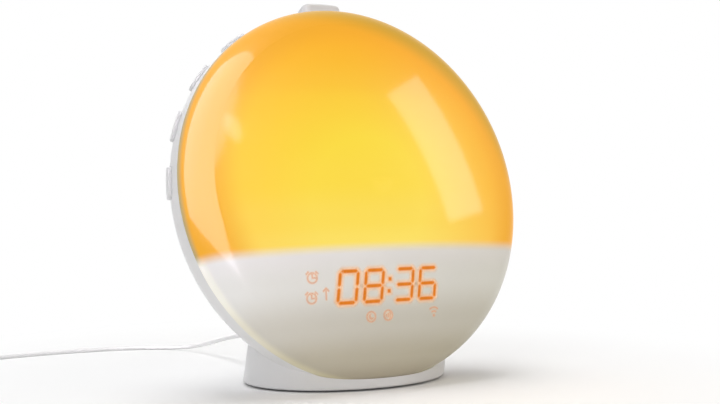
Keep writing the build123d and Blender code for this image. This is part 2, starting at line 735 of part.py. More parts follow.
def bars(lit):
    """Faces of the digits' bars that are lit, or of those that are dark."""
    return [
        segment(centre, ends)
        for centre, digit in zip(digit_centres, UNLIT)
        for name, ends in SEGMENTS.items()
        if (name not in UNLIT[digit]) == lit
    ]


def ring(x, y, size):
    """Thin ring of the display's icons."""
    with BuildSketch(display) as mark:
        with Locations((x, y)):
            Circle(size / 2)
            Circle(size / 2 - ICON_STROKE, mode=Mode.SUBTRACT)
    return mark.sketch


def icon_bars(*boxes):
    """Short strokes of the display's icons: centre, size and turn of each."""
    with BuildSketch(display) as mark:
        for x, y, width, height, turn in boxes:
            with Locations(Location((x, y), turn)):
                Rectangle(width, height)
    return mark.sketch


def alarm_icon(x, y):
    """Ring with two hands and two bells."""
    arm = ICON_SIZE / 3
    bell = ICON_SIZE * 0.45
    return [
        ring(x, y, ICON_SIZE),
        icon_bars(
            (x, y + arm / 2, ICON_STROKE, arm, 0),
            (x + arm / 2, y, arm, ICON_STROKE, 0),
            (x - bell, y + bell, arm, ICON_STROKE, 45),
            (x + bell, y + bell, arm, ICON_STROKE, -45),
        ),
    ]


def volume_icon(x, y):
    """Ring with three rising bars."""
    step = ICON_SIZE / 5
    return [
        ring(x, y, ICON_SIZE),
        icon_bars(*((x + n * step, y, ICON_STROKE, step * (n + 2), 0) for n in (-1, 0, 1))),
    ]


def moon_icon(x, y):
    """Ring around a crescent."""
    with BuildSketch(display) as mark:
        with Locations((x, y)):
            Circle(ICON_SIZE / 4)
        with Locations((x + ICON_SIZE / 8, y + ICON_SIZE / 12)):
            Circle(ICON_SIZE / 5, mode=Mode.SUBTRACT)
    return [ring(x, y, ICON_SIZE), mark.sketch]


def signal_icon(x, y):
    """A dot under two arcs."""
    with BuildSketch(display) as mark:
        for size in (ICON_SIZE * 0.45, ICON_SIZE * 0.8):
            with BuildLine():
                CenterArc((x, y), size, 50, 80)
                CenterArc((x, y), size - ICON_STROKE, 50, 80)
                for angle in (50, 130):
                    tip = (cos(radians(angle)), sin(radians(angle)))
                    Line(
                        (x + size * tip[0], y + size * tip[1]),
                        (x + (size - ICON_STROKE) * tip[0], y + (size - ICON_STROKE) * tip[1]),
                    )
            make_face()
        with Locations((x, y)):
            Circle(ICON_STROKE)
    return [mark.sketch]


def arrow_icon(x, y):
    """Small arrow that points up."""
    head = ICON_SIZE * 0.4
    return [
        icon_bars(
            (x, y, ICON_STROKE, ICON_SIZE, 0),
            (x - head / 3, y + head, head, ICON_STROKE, 45),
            (x + head / 3, y + head, head, ICON_STROKE, -45),
        )
    ]


with BuildSketch(display) as colon:
    for rise in (-COLON_RISE, COLON_RISE):
        with Locations(slanted(0, rise)):
            Rectangle(COLON_SIZE, COLON_SIZE)

icons = [
    *alarm_icon(*ALARM_ICON_HIGH),
    *alarm_icon(*ALARM_ICON_LOW),
    *arrow_icon(*ARROW_ICON),
    *moon_icon(*MOON_ICON),
    *volume_icon(*VOLUME_ICON),
    *signal_icon(*SIGNAL_ICON),
]
digit_bars = [display.from_local_coords(bar) for bar in bars(lit=True)]
dark_bars = [display.from_local_coords(bar) for bar in bars(lit=False)]


def light_guides(faces, depth):
    """Solids behind outlines of the display's plane, shaped to the inside of the dome."""
    with BuildPart() as guides:
        for outline in faces:
            extrude(outline, depth, both=True)
        split(bisect_by=display.offset(-depth), keep=Keep.TOP)
        revolve(
            dome_half(DOME_WALL + FIT_GAP, plate_front), axis=lamp_axis, mode=Mode.INTERSECT
        )
    return guides


display_digits = light_guides([*digit_bars, colon.sketch], SEGMENT_DEPTH)
save(display_digits, "display_digits")
display_dark_bars = light_guides(dark_bars, SEGMENT_DEPTH)
save(display_dark_bars, "display_dark_bars")
display_icons = light_guides(icons, ICON_DEPTH)
save(display_icons, "display_icons")

with BuildPart() as display_block:
    with BuildSketch(display.offset(-DISPLAY_DEPTH)):
        with Locations(display_middle):
            RectangleRounded(*display_size, POST_RADIUS)
    extrude(amount=2 * DISPLAY_DEPTH)
    revolve(dome_half(DOME_WALL + FIT_GAP, plate_front), axis=lamp_axis, mode=Mode.INTERSECT)
    for inlay in (display_digits, display_dark_bars, display_icons):
        add(inlay.part, mode=Mode.SUBTRACT)
save(display_block, "display_block")

with BuildPart() as display_board:
    with BuildSketch(display.offset(-DISPLAY_DEPTH - BOARD_THICKNESS)):
        with Locations(display_middle):
            RectangleRounded(*display_size, POST_RADIUS)
    extrude(amount=BOARD_THICKNESS)
save(display_board, "display_board")

# Flat cable from the back of the display board through the plate to the main board
with BuildPart() as display_ribbon:
    board_spot = display.offset(-DISPLAY_DEPTH - BOARD_THICKNESS)
    reach = face.to_local_coords(board_spot.from_local_coords(Vector(0, 0, 0)))
    bend = plate_back - STANDOFF / 2
    slope = tan(drop_angle) * (ribbon_drop + reach.Y)
    route = [
        (0, -ribbon_drop, reach.Z - slope),
        (0, -ribbon_drop, bend),
        (0, -RIBBON_END, bend),
        (0, -RIBBON_END, boards_front),
    ]
    with BuildLine() as ribbon_path:
        FilletPolyline(*[face.from_local_coords(Vector(*p)) for p in route], radius=RIBBON_BEND)
    with BuildSketch(Plane(origin=ribbon_path.line @ 0, x_dir=face.x_dir,
                           z_dir=ribbon_path.line % 0)):
        Rectangle(RIBBON_WIDTH, RIBBON_THICKNESS)
    sweep(path=ribbon_path.line)
    add(display_board.part, mode=Mode.SUBTRACT)
save(display_ribbon, "display_ribbon")

# ---- Boards behind the plate -------------------------------------------------------------

with BuildPart() as main_board:
    with BuildSketch(face.offset(boards_back)):
        RectangleRounded(main_width, MAIN_HEIGHT, MAIN_HOLE_INSET / 2)
        with Locations(*main_holes):
            Circle(hole_radius, mode=Mode.SUBTRACT)
    extrude(amount=BOARD_THICKNESS)
save(main_board, "main_board")

behind_boards = face.offset(boards_back)
radio_x = RADIO_INSET - main_width / 2
capacitor_places = [(main_width / 2 - CAPACITOR_INSET, rise) for rise in CAPACITOR_RISES]

with BuildPart() as main_chips:
    for x, y, width, height, thickness in CHIPS:
        with BuildSketch(behind_boards):
            with Locations((x, y)):
                Rectangle(width, height)
        extrude(amount=-thickness)
        chamfer(edges(Select.LAST).group_by(lamp_axis)[0], length=CHIP_CHAMFER)
save(main_chips, "main_chips")

with BuildPart() as radio_module:
    with BuildSketch(behind_boards):
        with Locations((radio_x, RADIO_RISE)):
            Rectangle(RADIO_WIDTH, RADIO_HEIGHT)
    extrude(amount=-RADIO_BOARD)
    with BuildSketch(behind_boards.offset(-RADIO_BOARD)):
        with Locations((radio_x, RADIO_RISE - RADIO_AERIAL / 2)):
            Rectangle(RADIO_WIDTH - 2 * RADIO_BOARD, RADIO_HEIGHT - RADIO_AERIAL - RADIO_BOARD)
    extrude(amount=-RADIO_CAN)
save(radio_module, "radio_module")

with BuildPart() as capacitors:
    with BuildSketch(behind_boards):
        with Locations(*capacitor_places):
            Circle(CAPACITOR_RADIUS)
    extrude(amount=-CAPACITOR_LENGTH)
    fillet(edges().group_by(lamp_axis)[0], radius=CHIP_CHAMFER)
save(capacitors, "capacitors")

with BuildPart() as wire_sockets:
    with BuildSketch(behind_boards):
        with Locations(SPEAKER_SOCKET, POWER_SOCKET):
            Rectangle(*SOCKET_SIZE)
    extrude(amount=-SOCKET_DEPTH)
save(wire_sockets, "wire_sockets")

key_start = 180 - KEY_BOARD_END
key_span = KEY_BOARD_END - key_start
with BuildPart() as key_board:
    with BuildSketch(behind_boards):
        with BuildLine():
            CenterArc((0, 0), key_board_outer, key_start, key_span)
            CenterArc((0, 0), key_board_inner, key_start, key_span)
            for end in (key_start, KEY_BOARD_END):
                Line(on_circle(key_board_inner, end), on_circle(key_board_outer, end))
        make_face()
        with Locations(*key_holes):
            Circle(hole_radius, mode=Mode.SUBTRACT)
    extrude(amount=BOARD_THICKNESS)
save(key_board, "key_board")

key_link = ((main_width / 2 + key_board_inner) / 2, 0)
key_link_size = (key_board_inner - main_width / 2 + 2 * SOCKET_SIZE[1], SOCKET_SIZE[0])
with BuildPart() as key_ribbon:
    with BuildSketch(behind_boards):
        with Locations(key_link):
            Rectangle(*key_link_size)
    extrude(amount=-RIBBON_THICKNESS)
save(key_ribbon, "key_ribbon")

screw("board_screws", behind_boards, [*main_holes, *key_holes], BOARD_SCREW_LENGTH)

# ---- Buttons and their switches ----------------------------------------------------------

switch_tip = key_board_outer + SWITCH_REACH

with BuildPart() as tact_switches:
    for angle, *_ in buttons.values():
        across = button_plane(angle)
        seat = across.offset(key_board_outer)
        shift = boards_front + SWITCH_WIDTH / 2 + BUTTON_BACK
        with BuildSketch(seat):
            with Locations((shift, 0)):
                Rectangle(SWITCH_WIDTH, SWITCH_LENGTH)
        extrude(amount=-SWITCH_DEPTH)
        with BuildSketch(seat):
            Circle(SWITCH_TIP_RADIUS)
        extrude(amount=SWITCH_REACH)
save(tact_switches, "tact_switches")

for name, (angle, length, width, proud, edge, travel) in buttons.items():
    across = button_plane(angle)
    wall = bowl_radius(HOUSING_WALL, BUTTON_BACK + width / 2 + BUTTON_FLANGE)
    flange_top = sqrt(wall**2 - (length / 2 + BUTTON_FLANGE) ** 2) - BUTTON_GAP
    flange_bottom = flange_top - BUTTON_FLANGE_THICKNESS
    stem_end = switch_tip + travel + BUTTON_GAP
    with BuildPart() as button:
        extrude(button_slot(angle, length, width, 0), FACE_RADIUS + 2 * proud)
        revolve(bowl_half(-proud, proud), axis=lamp_axis, mode=Mode.INTERSECT)
        split(bisect_by=across.offset(flange_bottom), keep=Keep.TOP)
        outer = faces().sort_by(Axis(across.origin, across.z_dir))[-1]
        fillet(outer.edges(), radius=edge)
        with BuildSketch(across.offset(flange_bottom)):
            RectangleRounded(
                width + 2 * BUTTON_FLANGE, length + 2 * BUTTON_FLANGE, BUTTON_CORNER
            )
        extrude(amount=BUTTON_FLANGE_THICKNESS)
        with BuildSketch(across.offset(stem_end)):
            Rectangle(STEM_SIZE, STEM_SIZE)
        extrude(amount=flange_bottom - stem_end)
    save(button, name)

# ---- Speaker -----------------------------------------------------------------------------

frame_front = speaker_seat + SPEAKER_FRAME
basket_end = frame_front + SPEAKER_BASKET_DEPTH

with BuildPart() as speaker_frame:
    with BuildSketch(face.offset(speaker_seat)):
        RectangleRounded(SPEAKER_SIZE, SPEAKER_SIZE, SPEAKER_CORNER)
        Circle(SPEAKER_CONE_RADIUS, mode=Mode.SUBTRACT)
        with Locations(*speaker_screws):
            Circle(hole_radius, mode=Mode.SUBTRACT)
    extrude(amount=SPEAKER_FRAME)
    with BuildSketch(section):
        with BuildLine():
            Polyline(
                (SPEAKER_CONE_RADIUS + SPEAKER_FRAME, speaker_seat),
                (SPEAKER_CONE_RADIUS + SPEAKER_FRAME, frame_front),
                (MAGNET_RADIUS, basket_end),
                (SPEAKER_NECK_RADIUS, basket_end),
                (SPEAKER_NECK_RADIUS, basket_end - SPEAKER_FRAME),
                (SPEAKER_CONE_RADIUS, frame_front),
                (SPEAKER_CONE_RADIUS, speaker_seat),
                close=True,
            )
        make_face()
    revolve(axis=lamp_axis)
save(speaker_frame, "speaker_frame")

with BuildPart() as speaker_magnet:
    with BuildSketch(face.offset(basket_end)):
        Circle(MAGNET_RADIUS)
    extrude(amount=MAGNET_THICKNESS)
    fillet(edges(), radius=CHIP_CHAMFER)
save(speaker_magnet, "speaker_magnet")

with BuildPart() as speaker_cone:
    with BuildSketch(section):
        with BuildLine():
            Polyline(
                (0, basket_end - CONE_DEPTH_GAP),
                (SPEAKER_NECK_RADIUS - FIT_GAP, basket_end - CONE_DEPTH_GAP),
                (SPEAKER_CONE_RADIUS, frame_front),
                (SPEAKER_CONE_RADIUS, frame_front - CONE_THICKNESS),
                (SPEAKER_NECK_RADIUS - FIT_GAP, basket_end - CONE_DEPTH_GAP - CONE_THICKNESS),
                (0, basket_end - 2 * CONE_DEPTH_GAP - CONE_THICKNESS),
                close=True,
            )
        make_face()
    revolve(axis=lamp_axis)
save(speaker_cone, "speaker_cone")

with BuildPart() as speaker_gasket:
    with BuildSketch(face.offset(speaker_seat)):
        Circle(SPEAKER_CONE_RADIUS + GASKET_WIDTH)
        Circle(SPEAKER_CONE_RADIUS, mode=Mode.SUBTRACT)
    extrude(amount=-HOUSING_DEPTH)
    revolve(bowl_half(HOUSING_WALL, 0), axis=lamp_axis, mode=Mode.INTERSECT)
save(speaker_gasket, "speaker_gasket")

screw("speaker_screws", Plane(face.offset(frame_front).origin, x_dir=face.x_dir, z_dir=-face.z_dir),
      speaker_screws, SPEAKER_SCREW_LENGTH)

# ---- Battery in the foot -----------------------------------------------------------------

cell_place = (BATTERY_X + CELL_OFFSET, BATTERY_Y)
door_screw = (BATTERY_X + DOOR_SCREW_OFFSET, BATTERY_Y)
cell_bottom = cover_top + SCREW_GAP
pocket_top = cell_bottom + CELL_THICKNESS

with BuildPart() as battery_holder:
    with BuildSketch(ground.offset(cover_top)):
        with Locations((BATTERY_X, BATTERY_Y)):
            RectangleRounded(HOLDER_LENGTH, HOLDER_WIDTH, DOOR_CORNER)
    extrude(amount=HOLDER_HEIGHT)
    with BuildSketch(ground.offset(cover_top)):
        with Locations(cell_place):
            Circle(CELL_RADIUS + FIT_GAP)
    extrude(amount=pocket_top - cover_top, mode=Mode.SUBTRACT)
    with BuildSketch(ground.offset(cover_top)):
        with Locations(door_screw):
            Circle(hole_radius)
    extrude(amount=DOOR_SCREW_LENGTH, mode=Mode.SUBTRACT)
save(battery_holder, "battery_holder")

with BuildPart() as coin_cell:
    with BuildSketch(ground.offset(cell_bottom)):
        with Locations(cell_place):
            Circle(CELL_RADIUS)
    extrude(amount=CELL_THICKNESS)
    chamfer(edges(), length=CHIP_CHAMFER)
save(coin_cell, "coin_cell")

with BuildPart() as battery_door:
    with BuildSketch(ground.offset(PAD_HEIGHT)):
        with Locations((BATTERY_X, BATTERY_Y)):
            RectangleRounded(DOOR_LENGTH, DOOR_WIDTH, DOOR_CORNER)
    extrude(amount=COVER_THICKNESS)
    with BuildSketch(ground.offset(PAD_HEIGHT)):
        with Locations(door_screw):
            Circle(hole_radius)
    extrude(amount=COVER_THICKNESS, mode=Mode.SUBTRACT)
    with BuildSketch(ground.offset(PAD_HEIGHT)):
        with Locations(door_screw):
            Circle(counterbore_radius)
    extrude(amount=counterbore_depth, mode=Mode.SUBTRACT)
save(battery_door, "battery_door")

screw("battery_door_screw", ground.offset(PAD_HEIGHT + counterbore_depth), [door_screw],
      DOOR_SCREW_LENGTH)

# ---- Power inlet, plug and cord ----------------------------------------------------------

jack_front = port_plane.offset(-PORT_WALL)

with BuildPart() as power_jack:
    with BuildSketch(jack_front):
        Rectangle(JACK_SIZE, JACK_SIZE)
    extrude(amount=-JACK_LENGTH)
    with BuildSketch(jack_front):
        Circle(JACK_NOSE_RADIUS)
    extrude(amount=PORT_WALL)
    with BuildSketch(port_plane):
        Circle(PLUG_BARREL_RADIUS + SCREW_GAP)
        Circle(JACK_PIN_RADIUS, mode=Mode.SUBTRACT)
    extrude(amount=-PLUG_BARREL_LENGTH - SCREW_GAP, mode=Mode.SUBTRACT)
save(power_jack, "power_jack")

cord_radius = CORD_DIAMETER / 2

with BuildPart() as power_plug:
    with BuildSketch(port_plane):
        Circle(PLUG_BARREL_RADIUS)
        Circle(JACK_PIN_RADIUS + SCREW_GAP, mode=Mode.SUBTRACT)
    extrude(amount=-PLUG_BARREL_LENGTH)
    with BuildSketch(port_plane):
        Circle(PLUG_GRIP_RADIUS)
    extrude(amount=PLUG_GRIP_LENGTH)
    fillet(edges().sort_by(Axis.Y)[-1], radius=PLUG_GRIP_RADIUS / 4)
    with BuildSketch(port_plane.offset(PLUG_GRIP_LENGTH)):
        Circle(RELIEF_RADIUS)
    with BuildSketch(port_plane.offset(PLUG_GRIP_LENGTH + RELIEF_LENGTH)):
        Circle(cord_radius)
    loft()
save(power_plug, "power_plug")

# The cord's run, from the plug back and down to the ground, then left to the coil
cord_start_y = PORT_FACE + PLUG_GRIP_LENGTH + RELIEF_LENGTH
outer_turn = COIL_INNER_TURN + (COIL_COLUMNS - 1) * CORD_DIAMETER
coil_bottom = TIE_THICKNESS
coil_x, coil_y = COIL_CENTRE
entry = on_circle(outer_turn - cord_radius, COIL_ENTRY_ANGLE)
CORD_ROUTE = [
    (PORT_X, cord_start_y, PORT_Z),
    (-18.2, 68.3, 15.0),
    (-19.0, 91.3, 10.8),
    (-20.0, 114.3, 5.0),
    (-25.0, 133.8, cord_radius),
    (-48.0, 148.8, cord_radius),
    (-82.0, 152.8, cord_radius),
    (-116.0, 151.3, cord_radius),
    (-148.0, 143.3, cord_radius),
    (coil_x + entry[0], coil_y + entry[1], coil_bottom + CORD_DIAMETER),
]
run_radii = bend_radii(CORD_ROUTE)
print("cord run radii", [round(radius, 1) for radius in run_radii])

coil_height = COIL_LAYERS * CORD_DIAMETER
with BuildPart() as cord_coil:
    with BuildSketch(ground.offset(coil_bottom)):
        with Locations(COIL_CENTRE):
            Circle(outer_turn + cord_radius)
            Circle(COIL_INNER_TURN - cord_radius, mode=Mode.SUBTRACT)
    extrude(amount=coil_height)
    fillet(edges(), radius=cord_radius)
save(cord_coil, "cord_coil")

with BuildPart() as power_cord:
    add(tube(CORD_ROUTE, cord_radius, run_radii))
    for neighbour in (cord_coil, power_plug):
        add(neighbour.part, mode=Mode.SUBTRACT)
save(power_cord, "power_cord")

tail_height = coil_bottom + coil_height - cord_radius
usb_z = USB_GRIP[2] / 2
TAIL_ROUTE = [
    (coil_x - outer_turn, coil_y, tail_height),
    (coil_x - outer_turn - 0.4, coil_y - 10.0, tail_height - 0.4),
    (coil_x - outer_turn - 1.6, coil_y - 20.0, tail_height - 2.4),
    (coil_x - outer_turn - 2.0, coil_y - 30.0, usb_z),
]
tail_radii = bend_radii(TAIL_ROUTE)
print("cord tail radii", [round(radius, 1) for radius in tail_radii])

with BuildPart() as cord_tail:
    add(tube(TAIL_ROUTE, cord_radius, tail_radii))
    add(cord_coil.part, mode=Mode.SUBTRACT)
save(cord_tail, "cord_tail")

tail_end = Vector(*TAIL_ROUTE[-1])
tail_way = (tail_end - Vector(*TAIL_ROUTE[-2])).normalized()
usb_back = Plane(origin=tail_end, x_dir=(1, 0, 0), z_dir=tail_way)
usb_level = Plane(origin=tail_end + Vector(0, -USB_RELIEF, 0), x_dir=(1, 0, 0), z_dir=(0, -1, 0))

with BuildPart() as usb_plug:
    with BuildSketch(usb_back):
        Circle(cord_radius)
    with BuildSketch(usb_level):
        Circle(RELIEF_RADIUS)
    loft()
    with BuildSketch(usb_level):
        RectangleRounded(USB_GRIP[0], USB_GRIP[2], USB_CORNER)
    extrude(amount=USB_GRIP[1])
save(usb_plug, "usb_plug")

with BuildPart() as usb_shell:
    with BuildSketch(usb_level.offset(USB_GRIP[1])):
        Rectangle(USB_SHELL[0], USB_SHELL[2])
        Rectangle(USB_SHELL[0] - CONE_THICKNESS, USB_SHELL[2] - CONE_THICKNESS, mode=Mode.SUBTRACT)
    extrude(amount=USB_SHELL[1])
save(usb_shell, "usb_shell")

with BuildPart() as cord_tie:
    middle = (COIL_INNER_TURN + outer_turn) / 2
    depth = outer_turn - COIL_INNER_TURN + CORD_DIAMETER
    tie_plane = Plane(origin=(coil_x + middle, coil_y, coil_bottom + coil_height / 2),
                      x_dir=(1, 0, 0), z_dir=(0, 1, 0))
    with BuildSketch(tie_plane.offset(-TIE_WIDTH / 2)):
        RectangleRounded(depth + 2 * TIE_THICKNESS, coil_height + 2 * TIE_THICKNESS, cord_radius)
    extrude(amount=TIE_WIDTH)
    add(cord_coil.part, mode=Mode.SUBTRACT)
save(cord_tie, "cord_tie")

coil_length = COIL_COLUMNS * COIL_LAYERS * pi * (COIL_INNER_TURN + outer_turn)
section_area = pi * cord_radius**2
run_length = power_cord.part.volume / section_area
tail_length = cord_tail.part.volume / section_area
print("cord length", round(run_length + tail_length + coil_length, 1),
      "run", round(run_length, 1), "tail", round(tail_length, 1), "coil", round(coil_length, 1))

# ---- Inner wires -------------------------------------------------------------------------

jack_back = PORT_FACE - PORT_WALL - JACK_LENGTH
socket_back = boards_back - SOCKET_DEPTH


def wires(name, routes):
    """Thin insulated wires along straight runs with small bends."""
    with BuildPart() as bundle:
        for route in routes:
            add(tube(route, WIRE_RADIUS, WIRE_BEND))
    save(bundle, name)


def at_face(x, y, z):
    """World point of a place given on the face plane."""
    return tuple(face.from_local_coords(Vector(x, y, z)))


power_routes = []
speaker_routes = []
for side in (-1, 1):
    socket = at_face(POWER_SOCKET[0] + side * WIRE_PITCH / 2, POWER_SOCKET[1], socket_back)
    behind = at_face(POWER_SOCKET[0] + side * WIRE_PITCH / 2, POWER_SOCKET[1],
                     socket_back - WIRE_LOOP)
    wire_x = PORT_X + side * WIRE_PITCH / 2
    power_routes.append(
        [(wire_x, jack_back, PORT_Z - JACK_SIZE / 4), (wire_x, WIRE_HOLE_Y, PORT_Z - JACK_SIZE / 4),
         (wire_x, WIRE_HOLE_Y, WIRE_TURN_Z), behind, socket]
    )
    lug = (side * WIRE_PITCH / 2, SPEAKER_SIZE / 2 - 2 * WIRE_RADIUS, frame_front)
    speaker_routes.append(
        [at_face(*lug), at_face(lug[0], lug[1], frame_front + WIRE_LOOP),
         at_face(SPEAKER_SOCKET[0] + side * WIRE_PITCH / 2, SPEAKER_SOCKET[1], socket_back - WIRE_LOOP),
         at_face(SPEAKER_SOCKET[0] + side * WIRE_PITCH / 2, SPEAKER_SOCKET[1], socket_back)]
    )
wires("power_wires", power_routes)
wires("speaker_wires", speaker_routes)
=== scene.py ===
from math import asin, cos, pi, radians, sin

import bmesh
import bpy
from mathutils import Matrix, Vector
from mathutils.bvhtree import BVHTree


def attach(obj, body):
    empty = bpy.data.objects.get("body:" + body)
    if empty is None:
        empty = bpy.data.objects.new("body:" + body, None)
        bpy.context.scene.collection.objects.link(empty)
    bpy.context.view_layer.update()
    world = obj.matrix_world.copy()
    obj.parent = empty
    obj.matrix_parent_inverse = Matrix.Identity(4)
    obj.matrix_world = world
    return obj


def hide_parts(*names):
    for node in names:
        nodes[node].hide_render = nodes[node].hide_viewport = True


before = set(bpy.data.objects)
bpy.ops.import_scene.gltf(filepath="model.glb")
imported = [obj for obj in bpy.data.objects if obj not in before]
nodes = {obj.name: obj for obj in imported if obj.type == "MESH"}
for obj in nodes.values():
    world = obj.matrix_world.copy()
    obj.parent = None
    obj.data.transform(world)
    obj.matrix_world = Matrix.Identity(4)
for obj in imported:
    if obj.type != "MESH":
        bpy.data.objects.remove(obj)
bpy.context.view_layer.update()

# ---- Driving values, in metres -----------------------------------------------------------

MM = 0.001

# Lamp face: the plane of the seam between dome and housing
FACE_ORIGIN = Vector((0, -7.8, 89.3)) * MM
FACE_TILT = radians(14.5)
FACE_UP = Vector((0, sin(FACE_TILT), cos(FACE_TILT)))
FACE_OUT = Vector((0, -cos(FACE_TILT), sin(FACE_TILT)))
FACE_RADIUS = 90 * MM
DIVIDER_DROP = 31 * MM      # boundary between lamp and display, below the face's centre

# Display: its plane lies just behind the crown at the middle of the digits
DISPLAY_DROP = 48 * MM
INSIDE_CROWN = 298.95 * MM  # radius of the crown's inside, less a fit gap of 0.3 mm
DROP_ANGLE = asin(DISPLAY_DROP / INSIDE_CROWN)
DISPLAY_OUT = FACE_OUT * cos(DROP_ANGLE) - FACE_UP * sin(DROP_ANGLE)

# Camera of the picture: 720 x 404 pixels, focal length and picture centre in pixels
PICTURE_SIZE = (720, 404)
PICTURE_CENTRE = (353.87, 180.23)
FOCAL_PIXELS = 1266.6
CAMERA_AZIMUTH = radians(-31.526)
CAMERA_ELEVATION = radians(0.123)
CAMERA_DISTANCE = 599.84 * MM
CAMERA_TARGET = Vector((0, -7.8, 95)) * MM
SENSOR_WIDTH = 36.0         # millimetres
NEAREST_SEEN = 0.01

# Power cord: its route from the inlet's plug to the coil, and from the coil to the USB plug
CORD_RADIUS = 1.1 * MM
CORD_ROUTE = [
    (-18.0, 52.0, 15.0),
    (-18.2, 68.3, 15.0),
    (-19.0, 91.3, 10.8),
    (-20.0, 114.3, 5.0),
    (-25.0, 133.8, 1.1),
    (-48.0, 148.8, 1.1),
    (-82.0, 152.8, 1.1),
    (-116.0, 151.3, 1.1),
    (-148.0, 143.3, 1.1),
]
TAIL_ROUTE = [
    (-181.8, 108.0, 7.8),
    (-183.0, 98.0, 5.8),
    (-183.4, 88.0, 4.0),
]
COIL_CENTRE = (-166.0, 118.0)
COIL_RADII = (15.4, 13.2, 11.0, 8.8)
COIL_HEIGHTS = (1.6, 3.8, 6.0, 8.2)
COIL_ENTRY = 115            # degrees, where the run joins the outermost turn
COIL_LEAVE = 180            # degrees, where the tail leaves it
TURN_POINTS = 16
TURN_EASE = 0.25            # last share of a turn, where the cord moves on to the next
CORD_SIDES = 14             # round its section
CORD_STEPS = 8              # along it, for each point


# ---- Camera ------------------------------------------------------------------------------

def make_camera():
    """Camera at the picture's place, looking level at the clock's left front."""
    back = Vector((
        sin(CAMERA_AZIMUTH) * cos(CAMERA_ELEVATION),
        -cos(CAMERA_AZIMUTH) * cos(CAMERA_ELEVATION),
        sin(CAMERA_ELEVATION),
    ))
    data = bpy.data.cameras.new("camera")
    data.sensor_width = SENSOR_WIDTH
    data.lens = FOCAL_PIXELS / PICTURE_SIZE[0] * SENSOR_WIDTH
    data.shift_x = 0.5 - PICTURE_CENTRE[0] / PICTURE_SIZE[0]
    data.shift_y = (PICTURE_CENTRE[1] - PICTURE_SIZE[1] / 2) / PICTURE_SIZE[0]
    data.clip_start = NEAREST_SEEN
    camera = bpy.data.objects.new("camera", data)
    camera.location = CAMERA_TARGET + back * CAMERA_DISTANCE
    camera.rotation_euler = back.to_track_quat("Z", "Y").to_euler()
    bpy.context.scene.collection.objects.link(camera)
    bpy.context.scene.camera = camera


# ---- Cord --------------------------------------------------------------------------------

def smooth(share):
    """Ease from 0 to 1."""
    share = min(1.0, max(0.0, share))
    return share * share * (3 - 2 * share)


def coil_point(turns):
    """Centre of the cord after some turns of the coil: layers go up, in and out by turns."""
    columns = len(COIL_RADII)
    last_turn = columns * len(COIL_HEIGHTS) - 1
    whole = min(int(turns), last_turn)
    layer, place = divmod(whole, columns)
    radii = COIL_RADII if layer % 2 == 0 else COIL_RADII[::-1]
    ease = smooth((turns - whole - (1 - TURN_EASE)) / TURN_EASE)
    next_radius = radii[min(place + 1, columns - 1)]
    radius = radii[place] + (next_radius - radii[place]) * ease
    height = COIL_HEIGHTS[layer]
    if place == columns - 1 and whole < last_turn:
        height += (COIL_HEIGHTS[layer + 1] - height) * ease
    angle = radians(COIL_ENTRY) + 2 * pi * turns
    reach = radius / cos(pi / TURN_POINTS)
    return (COIL_CENTRE[0] + reach * cos(angle), COIL_CENTRE[1] + reach * sin(angle), height)


def make_cord():
    """The whole cord as one smooth line: run, coil and tail."""
    turns = len(COIL_RADII) * len(COIL_HEIGHTS) + (COIL_LEAVE - COIL_ENTRY) / 360
    steps = round(turns * TURN_POINTS)
    coil = [coil_point(turns * step / steps) for step in range(steps + 1)]
    points = [Vector(p) * MM for p in [*CORD_ROUTE, *coil, *TAIL_ROUTE]]
    curve = bpy.data.curves.new("cord", "CURVE")
    curve.dimensions = "3D"
    curve.bevel_depth = 1.0     # times each point's radius
    curve.bevel_resolution = (CORD_SIDES - 4) // 2
    curve.resolution_u = CORD_STEPS
    curve.use_fill_caps = True
    spline = curve.splines.new("NURBS")
    spline.points.add(len(points) - 1)
    for slot, point in zip(spline.points, points):
        slot.co = (*point, 1)
        slot.radius = CORD_RADIUS
    spline.order_u = 3
    spline.use_endpoint_u = True
    cord = bpy.data.objects.new("cord", curve)
    bpy.context.scene.collection.objects.link(cord)
    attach(cord, "clock")
    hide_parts("power_cord", "cord_coil", "cord_tail")
    return cord


# ---- Material helpers --------------------------------------------------------------------

def link(tree, source, target):
    """Join an output socket to an input socket."""
    tree.links.new(source, target)


def feed(tree, target, value):
    """Give an input socket another socket or a constant."""
    if isinstance(value, bpy.types.NodeSocket):
        link(tree, value, target)
    else:
        target.default_value = value


def add_node(tree, kind, **values):
    """New shader node with some of its properties set."""
    node = tree.nodes.new(kind)
    for name, value in values.items():
        setattr(node, name, value)
    return node


def new_material(name):
    """Material with an empty Principled shader. Returns material, its tree and the shader."""
    material = bpy.data.materials.new(name)
    material.use_nodes = True
    tree = material.node_tree
    return material, tree, tree.nodes["Principled BSDF"]


NOISE_MIDDLE = (0.3, 0.7)   # range that most of a noise lies in

# Plastics: noise scales in waves per metre, and how far the gloss varies
CLOUD_SCALE = 45.0
GLOSS_SCALE = 220.0
GLOSS_SPREAD = 0.05
GRAIN_DETAIL = 2.0
GRAIN_HEIGHT = 0.0002

# Metals
LINE_SCALE = 500.0
LINE_STRETCH = (1.0, 1.0, 12.0)
LINE_SHADES = (0.88, 1.06)
LINE_GLOSS = (-0.06, 0.08)  # added to the roughness
LINE_RELIEF = 0.05
LINE_HEIGHT = 0.0001


def noise(tree, scale, detail=3.0):
    """Noise in the object's own coordinates. Returns its value socket."""
    place = add_node(tree, "ShaderNodeTexCoord")
    texture = add_node(tree, "ShaderNodeTexNoise")
    texture.inputs["Scale"].default_value = scale
    texture.inputs["Detail"].default_value = detail
    link(tree, place.outputs["Object"], texture.inputs["Vector"])
    return texture.outputs["Fac"]


